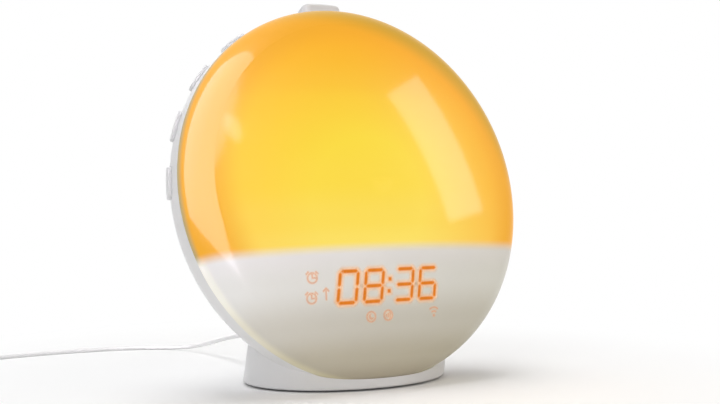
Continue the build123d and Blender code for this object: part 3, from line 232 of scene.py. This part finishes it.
def spread(tree, value, low, high):
    """Map a noise's middle range to low ... high."""
    node = add_node(tree, "ShaderNodeMapRange")
    node.inputs["From Min"].default_value, node.inputs["From Max"].default_value = NOISE_MIDDLE
    node.inputs["To Min"].default_value = low
    node.inputs["To Max"].default_value = high
    link(tree, value, node.inputs["Value"])
    return node.outputs["Result"]


def bump(tree, shader, height, strength, distance):
    """Surface relief from a height socket."""
    node = add_node(tree, "ShaderNodeBump")
    node.inputs["Strength"].default_value = strength
    node.inputs["Distance"].default_value = distance
    link(tree, height, node.inputs["Height"])
    link(tree, node.outputs["Normal"], shader.inputs["Normal"])


def blend_colours(tree, share, first, second):
    """Mix of two colours, or colour sockets, by a share socket."""
    node = add_node(tree, "ShaderNodeMix", data_type="RGBA")
    link(tree, share, node.inputs["Factor"])
    for slot, colour in (("A", first), ("B", second)):
        socket = [s for s in node.inputs if s.name == slot and s.type == "RGBA"][0]
        if isinstance(colour, tuple):
            socket.default_value = (*colour, 1)
        else:
            link(tree, colour, socket)
    return [s for s in node.outputs if s.type == "RGBA"][0]


def shade(colour, factor):
    """Colour times a number, at most 1."""
    return tuple(min(1.0, c * factor) for c in colour)


def moulded(name, colour, roughness, grain=1400.0, relief=0.04, tint=0.03, mirror=0.5):
    """Moulded plastic or rubber: fine grain, faint clouds of colour and of gloss.

    mirror is the level of its reflection: 0.5 is that of plain plastic.
    """
    material, tree, shader = new_material(name)
    clouds = noise(tree, CLOUD_SCALE)
    base = blend_colours(tree, clouds, shade(colour, 1 - tint), shade(colour, 1 + tint))
    link(tree, base, shader.inputs["Base Color"])
    patches = noise(tree, GLOSS_SCALE)
    gloss = spread(tree, patches, roughness - GLOSS_SPREAD, roughness + GLOSS_SPREAD)
    link(tree, gloss, shader.inputs["Roughness"])
    shader.inputs["Specular IOR Level"].default_value = mirror
    bump(tree, shader, noise(tree, grain, GRAIN_DETAIL), relief, GRAIN_HEIGHT)
    return material


def metal(name, colour, roughness):
    """Drawn or plated metal with faint lines along one direction."""
    material, tree, shader = new_material(name)
    shader.inputs["Metallic"].default_value = 1.0
    place = add_node(tree, "ShaderNodeTexCoord")
    turn = add_node(tree, "ShaderNodeMapping")
    turn.inputs["Scale"].default_value = LINE_STRETCH
    lines = add_node(tree, "ShaderNodeTexNoise")
    lines.inputs["Scale"].default_value = LINE_SCALE
    link(tree, place.outputs["Object"], turn.inputs["Vector"])
    link(tree, turn.outputs["Vector"], lines.inputs["Vector"])
    value = lines.outputs["Fac"]
    base = blend_colours(tree, value, *(shade(colour, factor) for factor in LINE_SHADES))
    link(tree, base, shader.inputs["Base Color"])
    gloss = spread(tree, value, roughness + LINE_GLOSS[0], roughness + LINE_GLOSS[1])
    link(tree, gloss, shader.inputs["Roughness"])
    bump(tree, shader, value, LINE_RELIEF, LINE_HEIGHT)
    return material


def srgb(red, green, blue):
    """Linear colour of three display values from 0 to 255."""
    def linear(value):
        value /= 255
        return value / 12.92 if value <= 0.04045 else ((value + 0.055) / 1.055) ** 2.4
    return (linear(red), linear(green), linear(blue))


def vector_math(tree, operation, first, second):
    """Vector node on a socket and a constant or a second socket."""
    node = add_node(tree, "ShaderNodeVectorMath", operation=operation)
    link(tree, first, node.inputs[0])
    feed(tree, node.inputs[1], second)
    return node


def number_math(tree, operation, *values):
    """Number node on sockets and constants. Returns its value socket."""
    node = add_node(tree, "ShaderNodeMath", operation=operation)
    for target, value in zip(node.inputs, values):
        feed(tree, target, value)
    return node.outputs["Value"]


def face_places(tree):
    """Places on the lamp's face: across, up, radius, and depth in front of the seam."""
    place = add_node(tree, "ShaderNodeTexCoord")
    offset = vector_math(tree, "SUBTRACT", place.outputs["Object"], FACE_ORIGIN)
    height = vector_math(tree, "DOT_PRODUCT", offset.outputs["Vector"], FACE_UP)
    depth = vector_math(tree, "DOT_PRODUCT", offset.outputs["Vector"], FACE_OUT)
    parts = add_node(tree, "ShaderNodeSeparateXYZ")
    link(tree, offset.outputs["Vector"], parts.inputs["Vector"])
    flat = add_node(tree, "ShaderNodeCombineXYZ")
    link(tree, parts.outputs["X"], flat.inputs["X"])
    link(tree, height.outputs["Value"], flat.inputs["Y"])
    radius = add_node(tree, "ShaderNodeVectorMath", operation="LENGTH")
    link(tree, flat.outputs["Vector"], radius.inputs[0])
    places = [node.outputs["Value"] for node in (height, radius, depth)]
    return parts.outputs["X"], *places


def even_range(tree, value, low, high, kind="LINEAR"):
    """Step of a socket from 0 at low to 1 at high, even unless kind says otherwise."""
    node = add_node(tree, "ShaderNodeMapRange", interpolation_type=kind)
    node.inputs["From Min"].default_value = low
    node.inputs["From Max"].default_value = high
    link(tree, value, node.inputs["Value"])
    return node.outputs["Result"]


def ease_range(tree, value, low, high):
    """Smooth step of a socket from 0 at low to 1 at high."""
    return even_range(tree, value, low, high, "SMOOTHSTEP")


def colour_ramp(tree, value, low, high, stops):
    """Colours along a socket's value from low to high. Stops are share and colour."""
    along = even_range(tree, value, low, high)
    ramp = add_node(tree, "ShaderNodeValToRGB")
    ramp.color_ramp.interpolation = "EASE"
    marks = ramp.color_ramp.elements
    while len(marks) < len(stops):
        marks.new(1.0)
    for mark, (share, colour) in zip(marks, stops):
        mark.position = share
        mark.color = (*colour, 1)
    link(tree, along, ramp.inputs["Fac"])
    return ramp.outputs["Color"]


def scaled(tree, colour, amount):
    """Colour times a number or a socket."""
    node = add_node(tree, "ShaderNodeVectorMath", operation="SCALE")
    link(tree, colour, node.inputs[0])
    feed(tree, node.inputs["Scale"], amount)
    return node.outputs["Vector"]


# ---- Looks of the dome -------------------------------------------------------------------

LAMP_GLOW = 0.78            # light that the lit zone gives, as a share of its colour
LAMP_BODY = 0.24            # colour that the lit zone keeps under other light
LAMP_STOPS = (              # from the divider up to the top of the dome
    (0.00, srgb(255, 227, 98)),
    (0.11, srgb(254, 222, 82)),
    (0.26, srgb(254, 220, 63)),
    (0.41, srgb(253, 220, 56)),
    (0.57, srgb(254, 218, 54)),
    (0.65, srgb(254, 211, 52)),
    (0.75, srgb(254, 208, 44)),
    (1.00, srgb(252, 200, 36)),
)
LIT_BLUR = 3 * MM           # to both sides of the divider

# Painted shade towards the rim: colours, and the radii or depths between which each comes in
RIM_SHADE = srgb(250, 166, 6)
RIM_SHADE_REACH = (26 * MM, 114 * MM)
RIM_SHADE_LEAN = (0.25, 0.32)     # added to the radius per metre to the right and up, where the painted shade is deeper
SHOULDER_SHADE = srgb(242, 170, 24)
SHOULDER_SHADE_REACH = (66 * MM, 84 * MM)
EDGE_SHADE = srgb(206, 158, 30)
EDGE_SHADE_REACH = (99 * MM, 115 * MM)
# Painted shade where the dome meets the housing: the glow turns dull just in front of the seam
LIP_SHADE = srgb(178, 158, 108)
LIP_SHADE_REACH = (5 * MM, 0.5 * MM)      # in front of the seam

PANEL_SHADE_STOPS = (             # from the bottom of the dome up to the divider, painted shade darker towards the bottom
    (0.00, srgb(178, 168, 149)),
    (0.18, srgb(194, 187, 171)),
    (0.42, srgb(212, 208, 200)),
    (0.75, srgb(236, 235, 234)),
    (1.00, srgb(243, 240, 243)),
)
# Painted shade across the panel: lighter at the left, darker and warmer at the right
PANEL_SHADE_LEFT = (0.99, 0.99, 0.98)
PANEL_SHADE_RIGHT = (0.80, 0.80, 0.73)
PANEL_SHADE_REACH = (-70 * MM, 70 * MM)   # from left to right
PANEL_GLOW = 0.12           # light of the panel, as a share of its colour with its painted shade
SEAM_GLOW = (0.13, 0.12, 0.05)
SEAM_REACH = (7 * MM, 2.5 * MM)     # in front of the seam
DOME_CLOUDS = (0.985, 1.015)
DOME_CLOUD_SCALE = 30.0
DOME_ROUGHNESS = (0.34, 0.40)
DOME_GLOSS_SCALE = 260.0
DOME_GRAIN = 1800.0
DOME_RELIEF = 0.02
DOME_GRAIN_HEIGHT = 0.0001
DOME_MIRROR = 0.10
DOME_COAT = 0.25
DOME_COAT_ROUGHNESS = 0.08


def dome_material():
    """Frosted dome: lamp glow above the divider, pale panel below it, both with painted shade.
    """
    material, tree, shader = new_material("frosted_dome")
    across, height, radius, depth = face_places(tree)
    lit = ease_range(tree, height, -DIVIDER_DROP - LIT_BLUR, -DIVIDER_DROP + LIT_BLUR)
    # Painted shade on the lamp's glow: deeper on the shoulder and towards the rim, most to the
    # right and up
    rim_shade_radius = radius
    for way, share in zip((across, height), RIM_SHADE_LEAN):
        rim_shade_radius = number_math(tree, "MULTIPLY_ADD", way, share, rim_shade_radius)
    glow = colour_ramp(tree, height, -DIVIDER_DROP, FACE_RADIUS, LAMP_STOPS)
    for share, colour in (
        (even_range(tree, rim_shade_radius, *RIM_SHADE_REACH), RIM_SHADE),
        (ease_range(tree, radius, *SHOULDER_SHADE_REACH), SHOULDER_SHADE),
        (ease_range(tree, rim_shade_radius, *EDGE_SHADE_REACH), EDGE_SHADE),
        # Painted shade at the seam
        (ease_range(tree, depth, *LIP_SHADE_REACH), LIP_SHADE),
    ):
        glow = blend_colours(tree, share, glow, colour)
    # Display panel: its pale colour with painted shade, darker towards the bottom and to the
    # right
    panel = colour_ramp(tree, height, -FACE_RADIUS, -DIVIDER_DROP, PANEL_SHADE_STOPS)
    side = blend_colours(tree, even_range(tree, across, *PANEL_SHADE_REACH), PANEL_SHADE_LEFT, PANEL_SHADE_RIGHT)
    panel = vector_math(tree, "MULTIPLY", panel, side).outputs["Vector"]
    clouds = spread(tree, noise(tree, DOME_CLOUD_SCALE), *DOME_CLOUDS)
    body = blend_colours(tree, lit, panel, scaled(tree, glow, LAMP_BODY))
    link(tree, scaled(tree, body, clouds), shader.inputs["Base Color"])
    # Light that leaks along the seam, all round the panel
    leak = blend_colours(tree, ease_range(tree, depth, *SEAM_REACH), (0, 0, 0), SEAM_GLOW)
    leak = vector_math(tree, "ADD", leak, scaled(tree, panel, PANEL_GLOW)).outputs["Vector"]
    light = blend_colours(tree, lit, leak, scaled(tree, glow, LAMP_GLOW))
    link(tree, light, shader.inputs["Emission Color"])
    shader.inputs["Emission Strength"].default_value = 1.0
    gloss = spread(tree, noise(tree, DOME_GLOSS_SCALE), *DOME_ROUGHNESS)
    link(tree, gloss, shader.inputs["Roughness"])
    shader.inputs["Specular IOR Level"].default_value = DOME_MIRROR
    shader.inputs["Coat Weight"].default_value = DOME_COAT
    shader.inputs["Coat Roughness"].default_value = DOME_COAT_ROUGHNESS
    grain = noise(tree, DOME_GRAIN, GRAIN_DETAIL)
    bump(tree, shader, grain, DOME_RELIEF, DOME_GRAIN_HEIGHT)
    return material


MARK_CLOUDS = (0.92, 1.08)
MARK_CLOUD_SCALE = 400.0
MARK_BODY = 0.5             # colour that a bar keeps under other light
MARK_ROUGHNESS = 0.4


def lit_mark(name, colour):
    """Glowing bar inside the clock, with faint unevenness along it."""
    material, tree, shader = new_material(name)
    clouds = noise(tree, MARK_CLOUD_SCALE)
    base = blend_colours(tree, clouds, *(shade(colour, factor) for factor in MARK_CLOUDS))
    link(tree, scaled(tree, base, MARK_BODY), shader.inputs["Base Color"])
    link(tree, base, shader.inputs["Emission Color"])
    shader.inputs["Emission Strength"].default_value = 1.0
    shader.inputs["Roughness"].default_value = MARK_ROUGHNESS
    return material


# ---- Light of the display on the outside of the dome --------------------------------------

DIGIT_RINGS = (             # distance out from a bar's outline, and share of its light there
    (-0.45 * MM, 1.0),
    (0.20 * MM, 0.45),
    (2.2 * MM, 0.0),
)
ICON_RINGS = (
    (-0.08 * MM, 1.0),
    (0.10 * MM, 0.30),
    (0.7 * MM, 0.0),
)
LIGHT_STEP = 2 * MM         # longest edge, so that the light follows the dome
LIGHT_LIFT = 0.07 * MM      # in front of the dome's surface
RAY_OFFSET = DISPLAY_OUT * 20 * MM      # from a bar to the start of the ray that finds the dome
FRONT_FACING = 0.9          # least cosine of a front face's angle to the display
WELD_DISTANCE = 0.01 * MM    # joins the vertices of faces that meet
LEAST_COSINE = 0.2          # between two sides, which keeps a sharp corner's mitre short


def long_edges(light):
    """Edges over the longest step."""
    return [edge for edge in light.edges if edge.calc_length() > LIGHT_STEP]


def bar_fronts(source):
    """Front faces of a display node's bars, with no edge over the longest step."""
    light = bmesh.new()
    light.from_mesh(nodes[source].data)
    hidden = [face for face in light.faces if face.normal.dot(DISPLAY_OUT) < FRONT_FACING]
    bmesh.ops.delete(light, geom=hidden, context="FACES")
    bmesh.ops.remove_doubles(light, verts=light.verts, dist=WELD_DISTANCE)
    while edges := long_edges(light):
        bmesh.ops.subdivide_edges(light, edges=edges, cuts=1)
        bmesh.ops.triangulate(light, faces=light.faces)
    return light


def outward_ways(rims):
    """For each vertex on the rims, the way out of its face with the mitre's length."""
    ways = {}
    for edge in rims:
        start, end = edge.verts
        side = (end.co - start.co).cross(DISPLAY_OUT).normalized()
        middle = edge.link_faces[0].calc_center_median()
        if side.dot(start.co - middle) < 0:
            side.negate()
        for corner in edge.verts:
            ways.setdefault(corner, []).append(side)
    return {
        corner: sum(sides, Vector()) / (1 + max(LEAST_COSINE, sides[0].dot(sides[-1])))
        for corner, sides in ways.items()
    }


def add_rings(light, rings):
    """Rings of faces around the bars, with each vertex's share of the light."""
    share = light.verts.layers.float.new("glow")
    rims = [edge for edge in light.edges if len(edge.link_faces) == 1]
    ways = outward_ways(rims)
    pairs = [tuple(edge.verts) for edge in rims]
    for corner in light.verts:
        corner[share] = 1.0
    inner = {corner: corner for corner in ways}
    start = {corner: corner.co.copy() for corner in ways}
    for distance, amount in rings[1:]:
        outer = {}
        for corner, way in ways.items():
            outer[corner] = light.verts.new(start[corner] + way * distance)
            outer[corner][share] = amount
        for first, second in pairs:
            light.faces.new((inner[first], inner[second], outer[second], outer[first]))
        inner = outer
    for corner, way in ways.items():
        corner.co = start[corner] + way * rings[0][0]


def lay_on_dome(light, dome):
    """Move every vertex to just in front of the dome and turn the faces to the front."""
    for corner in light.verts:
        place, normal, *_ = dome.ray_cast(corner.co + RAY_OFFSET, -DISPLAY_OUT)
        corner.co = place + normal * LIGHT_LIFT
    for face in light.faces:
        face.normal_update()
        if face.normal.dot(DISPLAY_OUT) < 0:
            face.normal_flip()


def display_light(name, source, material, dome, rings):
    """Thin skin of light in front of a display node's bars, fading out around them."""
    light = bar_fronts(source)
    add_rings(light, rings)
    lay_on_dome(light, dome)
    mesh = bpy.data.meshes.new(name)
    light.to_mesh(mesh)
    light.free()
    mesh.materials.append(material)
    piece = bpy.data.objects.new(name, mesh)
    bpy.context.scene.collection.objects.link(piece)
    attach(piece, "clock")


def make_display_light(materials):
    """Lit digits and icons, seen through the dome's frosted plastic."""
    dome_mesh = nodes["front_diffuser"].data
    corners = [corner.co for corner in dome_mesh.vertices]
    dome = BVHTree.FromPolygons(corners, [face.vertices for face in dome_mesh.polygons])
    for name, source, slot, rings in (
        ("digit_light", "display_digits", "digit_orange", DIGIT_RINGS),
        ("icon_light", "display_icons", "icon_orange", ICON_RINGS),
    ):
        display_light(name, source, materials[name], dome, rings)


SEEN_GLOW = 0.74            # light of the marks, as a share of their colour
SEEN_BODY = 0.3             # colour that they keep under other light
CORE_SHARE = (0.3, 0.9)     # shares of light between which the halo turns to the core's colour
COVER_SHARE = (0.0, 0.75)   # shares of light between which the skin comes to its full cover
SEEN_CLOUD_SCALE = 350.0
SEEN_MIRROR = 0.1
SEEN_ROUGHNESS = 0.35


def seen_light(name, core, cover):
    """Light behind frosted plastic: full colour inside the bars, pale around them.

    cover is how much of the dome the skin hides inside the bars.
    """
    material, tree, shader = new_material(name)
    place = add_node(tree, "ShaderNodeAttribute", attribute_name="glow")
    share = place.outputs["Fac"]
    inside = ease_range(tree, share, *CORE_SHARE)
    clouds = spread(tree, noise(tree, SEEN_CLOUD_SCALE), *MARK_CLOUDS)
    colour = scaled(tree, blend_colours(tree, inside, HALO_ORANGE, core), clouds)
    link(tree, scaled(tree, colour, SEEN_BODY), shader.inputs["Base Color"])
    link(tree, scaled(tree, colour, SEEN_GLOW), shader.inputs["Emission Color"])
    shader.inputs["Specular IOR Level"].default_value = SEEN_MIRROR
    shader.inputs["Emission Strength"].default_value = 1.0
    alpha = number_math(tree, "MULTIPLY", ease_range(tree, share, *COVER_SHARE), cover)
    link(tree, alpha, shader.inputs["Alpha"])
    shader.inputs["Roughness"].default_value = SEEN_ROUGHNESS
    return material


# ---- Materials of the CAD nodes ----------------------------------------------------------

WHITE = (0.83, 0.83, 0.835)
# Buttons: the housing's white, darker by painted shade that sets them off from the housing
BUTTON_SHADED_WHITE = (0.78, 0.78, 0.79)
DIGIT_ORANGE = srgb(222, 122, 24)
ICON_ORANGE = srgb(232, 166, 126)
HALO_ORANGE = srgb(255, 200, 150)


def make_materials():
    """Every material by name."""
    return {
        "dome": dome_material(),
        "white": moulded("white_plastic", WHITE, 0.34, mirror=0.05),
        "button": moulded("button_plastic", BUTTON_SHADED_WHITE, 0.38, grain=1800.0, mirror=0.05),
        "divider": moulded("divider_plastic", (0.82, 0.82, 0.80), 0.5),
        "rubber": moulded("grey_rubber", (0.34, 0.34, 0.35), 0.75, grain=900.0, relief=0.15),
        "black": moulded("black_plastic", (0.025, 0.025, 0.027), 0.42, grain=1600.0),
        "switch": moulded("switch_plastic", (0.05, 0.05, 0.055), 0.5),
        "cream": moulded("socket_plastic", (0.8, 0.76, 0.64), 0.45),
        "display": moulded("display_plastic", (0.78, 0.78, 0.76), 0.45),
        "dark_bar": moulded("unlit_bar", (0.62, 0.60, 0.57), 0.4),
        "digit": lit_mark("lit_digit", DIGIT_ORANGE),
        "icon": lit_mark("lit_icon", ICON_ORANGE),
        "digit_light": seen_light("digit_glow", DIGIT_ORANGE, 0.95),
        "icon_light": seen_light("icon_glow", ICON_ORANGE, 0.55),
        "board": moulded("green_board", (0.03, 0.16, 0.07), 0.3, grain=700.0, tint=0.25),
        "white_board": moulded("white_board", (0.86, 0.86, 0.84), 0.3, grain=700.0),
        "led": moulded("led_resin", (0.95, 0.72, 0.25), 0.25),
        "ribbon": moulded("ribbon_film", (0.75, 0.75, 0.72), 0.4, tint=0.08),
        "cone": moulded("speaker_paper", (0.04, 0.04, 0.042), 0.9, grain=500.0, relief=0.3),
        "foam": moulded("foam", (0.09, 0.09, 0.09), 0.95, grain=350.0, relief=0.5),
        "cord": moulded("cord_sleeve", (0.80, 0.80, 0.80), 0.45, grain=1200.0, relief=0.08),
        "wire": moulded("wire_sleeve", (0.5, 0.04, 0.03), 0.4),
        "tie": moulded("tie_strap", (0.04, 0.04, 0.04), 0.7, grain=500.0, relief=0.4),
        "steel": metal("zinc_steel", (0.62, 0.62, 0.64), 0.3),
        "nickel": metal("nickel_shell", (0.78, 0.77, 0.74), 0.22),
        "gold": metal("gold_pins", (0.83, 0.62, 0.25), 0.25),
        "aluminium": metal("aluminium_can", (0.76, 0.77, 0.79), 0.32),
        "iron": metal("ferrite", (0.16, 0.16, 0.17), 0.55),
    }


NODE_MATERIALS = {
    "front_diffuser": "dome", "rear_housing": "white", "base_cover": "white",
    "battery_door": "white", "reflector_plate": "white", "light_divider": "divider",
    "rubber_feet": "rubber", "base_screws": "steel", "housing_screws": "steel",
    "battery_door_screw": "steel", "board_screws": "steel", "speaker_screws": "steel",
    "led_board": "white_board", "leds": "led", "led_pins": "gold",
    "display_block": "display", "display_digits": "digit", "display_dark_bars": "dark_bar",
    "display_icons": "icon", "display_board": "board", "display_ribbon": "ribbon",
    "main_board": "board", "main_chips": "black", "radio_module": "nickel",
    "capacitors": "aluminium", "wire_sockets": "cream", "key_board": "board",
    "key_ribbon": "ribbon", "tact_switches": "switch", "speaker_frame": "black",
    "speaker_magnet": "iron", "speaker_cone": "cone", "speaker_gasket": "foam",
    "speaker_wires": "wire", "power_jack": "black", "power_wires": "wire",
    "battery_holder": "black", "coin_cell": "nickel", "power_plug": "cord",
    "usb_plug": "cord", "usb_shell": "nickel", "cord_tie": "tie",
    "power_cord": "cord", "cord_coil": "cord", "cord_tail": "cord",
}


def dress_nodes(materials):
    """Give every CAD node its material."""
    for name, node in nodes.items():
        look = "button" if "button" in name else NODE_MATERIALS[name]
        node.data.materials.clear()
        node.data.materials.append(materials[look])


# ---- Stage and light ---------------------------------------------------------------------

FLOOR_SIZE = 6.0
FLOOR_CLOUD_SCALE = 3.0
FLOOR_ROUGHNESS = 0.6
FLOOR_GREYS = ((0.93, 0.93, 0.93), (0.95, 0.95, 0.95))
FLOOR_FADE = (0.06, 0.26)   # distances from its middle between which it turns plain white
WORLD_LIGHT = 0.41
WHITE_LIGHT = (1.0, 1.0, 1.0)
WARM_LIGHT = (1.0, 0.72, 0.42)
PINK_LIGHT = (1.0, 0.92, 1.0)

# Softboxes: name, shape, azimuth, elevation, distance, width, height, watts, colour
SOFTBOXES = (
    ("key", "RECTANGLE", 175, 78, 1.6, 1.1, 1.1, 15.0, WHITE_LIGHT),
    ("fill", "RECTANGLE", -55, 36, 1.8, 1.0, 1.0, 5.0, WHITE_LIGHT),
    ("warm", "RECTANGLE", 45, 30, 0.6, 0.5, 0.5, 0.35, WARM_LIGHT),
)
MIRRORED_BOXES = (          # seen in reflections only
    ("left_band", "RECTANGLE", -67, 26, 0.6, 1.39, 1.7, 100.0, PINK_LIGHT),
    ("right_band", "RECTANGLE", 57, 26, 1.5, 0.30, 0.72, 7.0, PINK_LIGHT),
    ("spot", "ELLIPSE", -1, 39.5, 1.5, 0.07, 0.16, 0.40, PINK_LIGHT),
)


def looked_at(tree):
    """1 for rays of the camera, mirrors and glass, 0 for light."""
    path = add_node(tree, "ShaderNodeLightPath")
    total = path.outputs["Is Camera Ray"]
    for name in ("Is Glossy Ray", "Is Transmission Ray"):
        total = number_math(tree, "MAXIMUM", total, path.outputs[name])
    return total


def make_floor():
    """Pale floor that turns to plain white away from the clock."""
    bpy.ops.mesh.primitive_plane_add(size=FLOOR_SIZE)
    floor = bpy.context.object
    floor.name = "floor"
    material, tree, shader = new_material("pale_floor")
    base = blend_colours(tree, noise(tree, FLOOR_CLOUD_SCALE), *FLOOR_GREYS)
    link(tree, base, shader.inputs["Base Color"])
    shader.inputs["Roughness"].default_value = FLOOR_ROUGHNESS
    shader.inputs["Specular IOR Level"].default_value = 0.0
    white = add_node(tree, "ShaderNodeEmission")
    place = add_node(tree, "ShaderNodeTexCoord")
    reach = add_node(tree, "ShaderNodeVectorMath", operation="LENGTH")
    link(tree, place.outputs["Object"], reach.inputs[0])
    far = ease_range(tree, reach.outputs["Value"], *FLOOR_FADE)
    mix = add_node(tree, "ShaderNodeMixShader")
    link(tree, number_math(tree, "MULTIPLY", far, looked_at(tree)), mix.inputs["Fac"])
    link(tree, shader.outputs["BSDF"], mix.inputs[1])
    link(tree, white.outputs["Emission"], mix.inputs[2])
    link(tree, mix.outputs["Shader"], tree.nodes["Material Output"].inputs["Surface"])
    floor.data.materials.append(material)


def make_world():
    """White surroundings to look at, softer as a light."""
    world = bpy.data.worlds.new("studio")
    world.use_nodes = True
    bpy.context.scene.world = world
    tree = world.node_tree
    background = tree.nodes["Background"]
    background.inputs["Color"].default_value = (1, 1, 1, 1)
    strength = add_node(tree, "ShaderNodeMapRange")
    strength.inputs["To Min"].default_value = WORLD_LIGHT
    strength.inputs["To Max"].default_value = 1.0
    link(tree, looked_at(tree), strength.inputs["Value"])
    link(tree, strength.outputs["Result"], background.inputs["Strength"])


def make_lights(boxes, mirrored):
    """Softboxes around the clock, aimed at the middle of its face.

    The mirrored ones show in glossy reflections only. The others give light and don't show.
    """
    for name, shape, azimuth, elevation, distance, width, height, watts, colour in boxes:
        a, e = radians(azimuth), radians(elevation)
        way = Vector((sin(a) * cos(e), -cos(a) * cos(e), sin(e)))
        data = bpy.data.lights.new(name, "AREA")
        data.shape = shape
        data.size = width
        data.size_y = height
        data.energy = watts
        data.color = colour
        light = bpy.data.objects.new(name, data)
        light.location = FACE_ORIGIN + way * distance
        light.rotation_euler = way.to_track_quat("Z", "Y").to_euler()
        light.visible_camera = False
        light.visible_diffuse = not mirrored
        light.visible_glossy = mirrored
        bpy.context.scene.collection.objects.link(light)


# ---- Scene -------------------------------------------------------------------------------

make_camera()
cord = make_cord()
materials = make_materials()
dress_nodes(materials)
cord.data.materials.append(materials["cord"])
make_display_light(materials)
make_floor()
make_world()
make_lights(SOFTBOXES, mirrored=False)
make_lights(MIRRORED_BOXES, mirrored=True)
bpy.context.scene.view_settings.view_transform = "Standard"

bpy.context.view_layer.update()
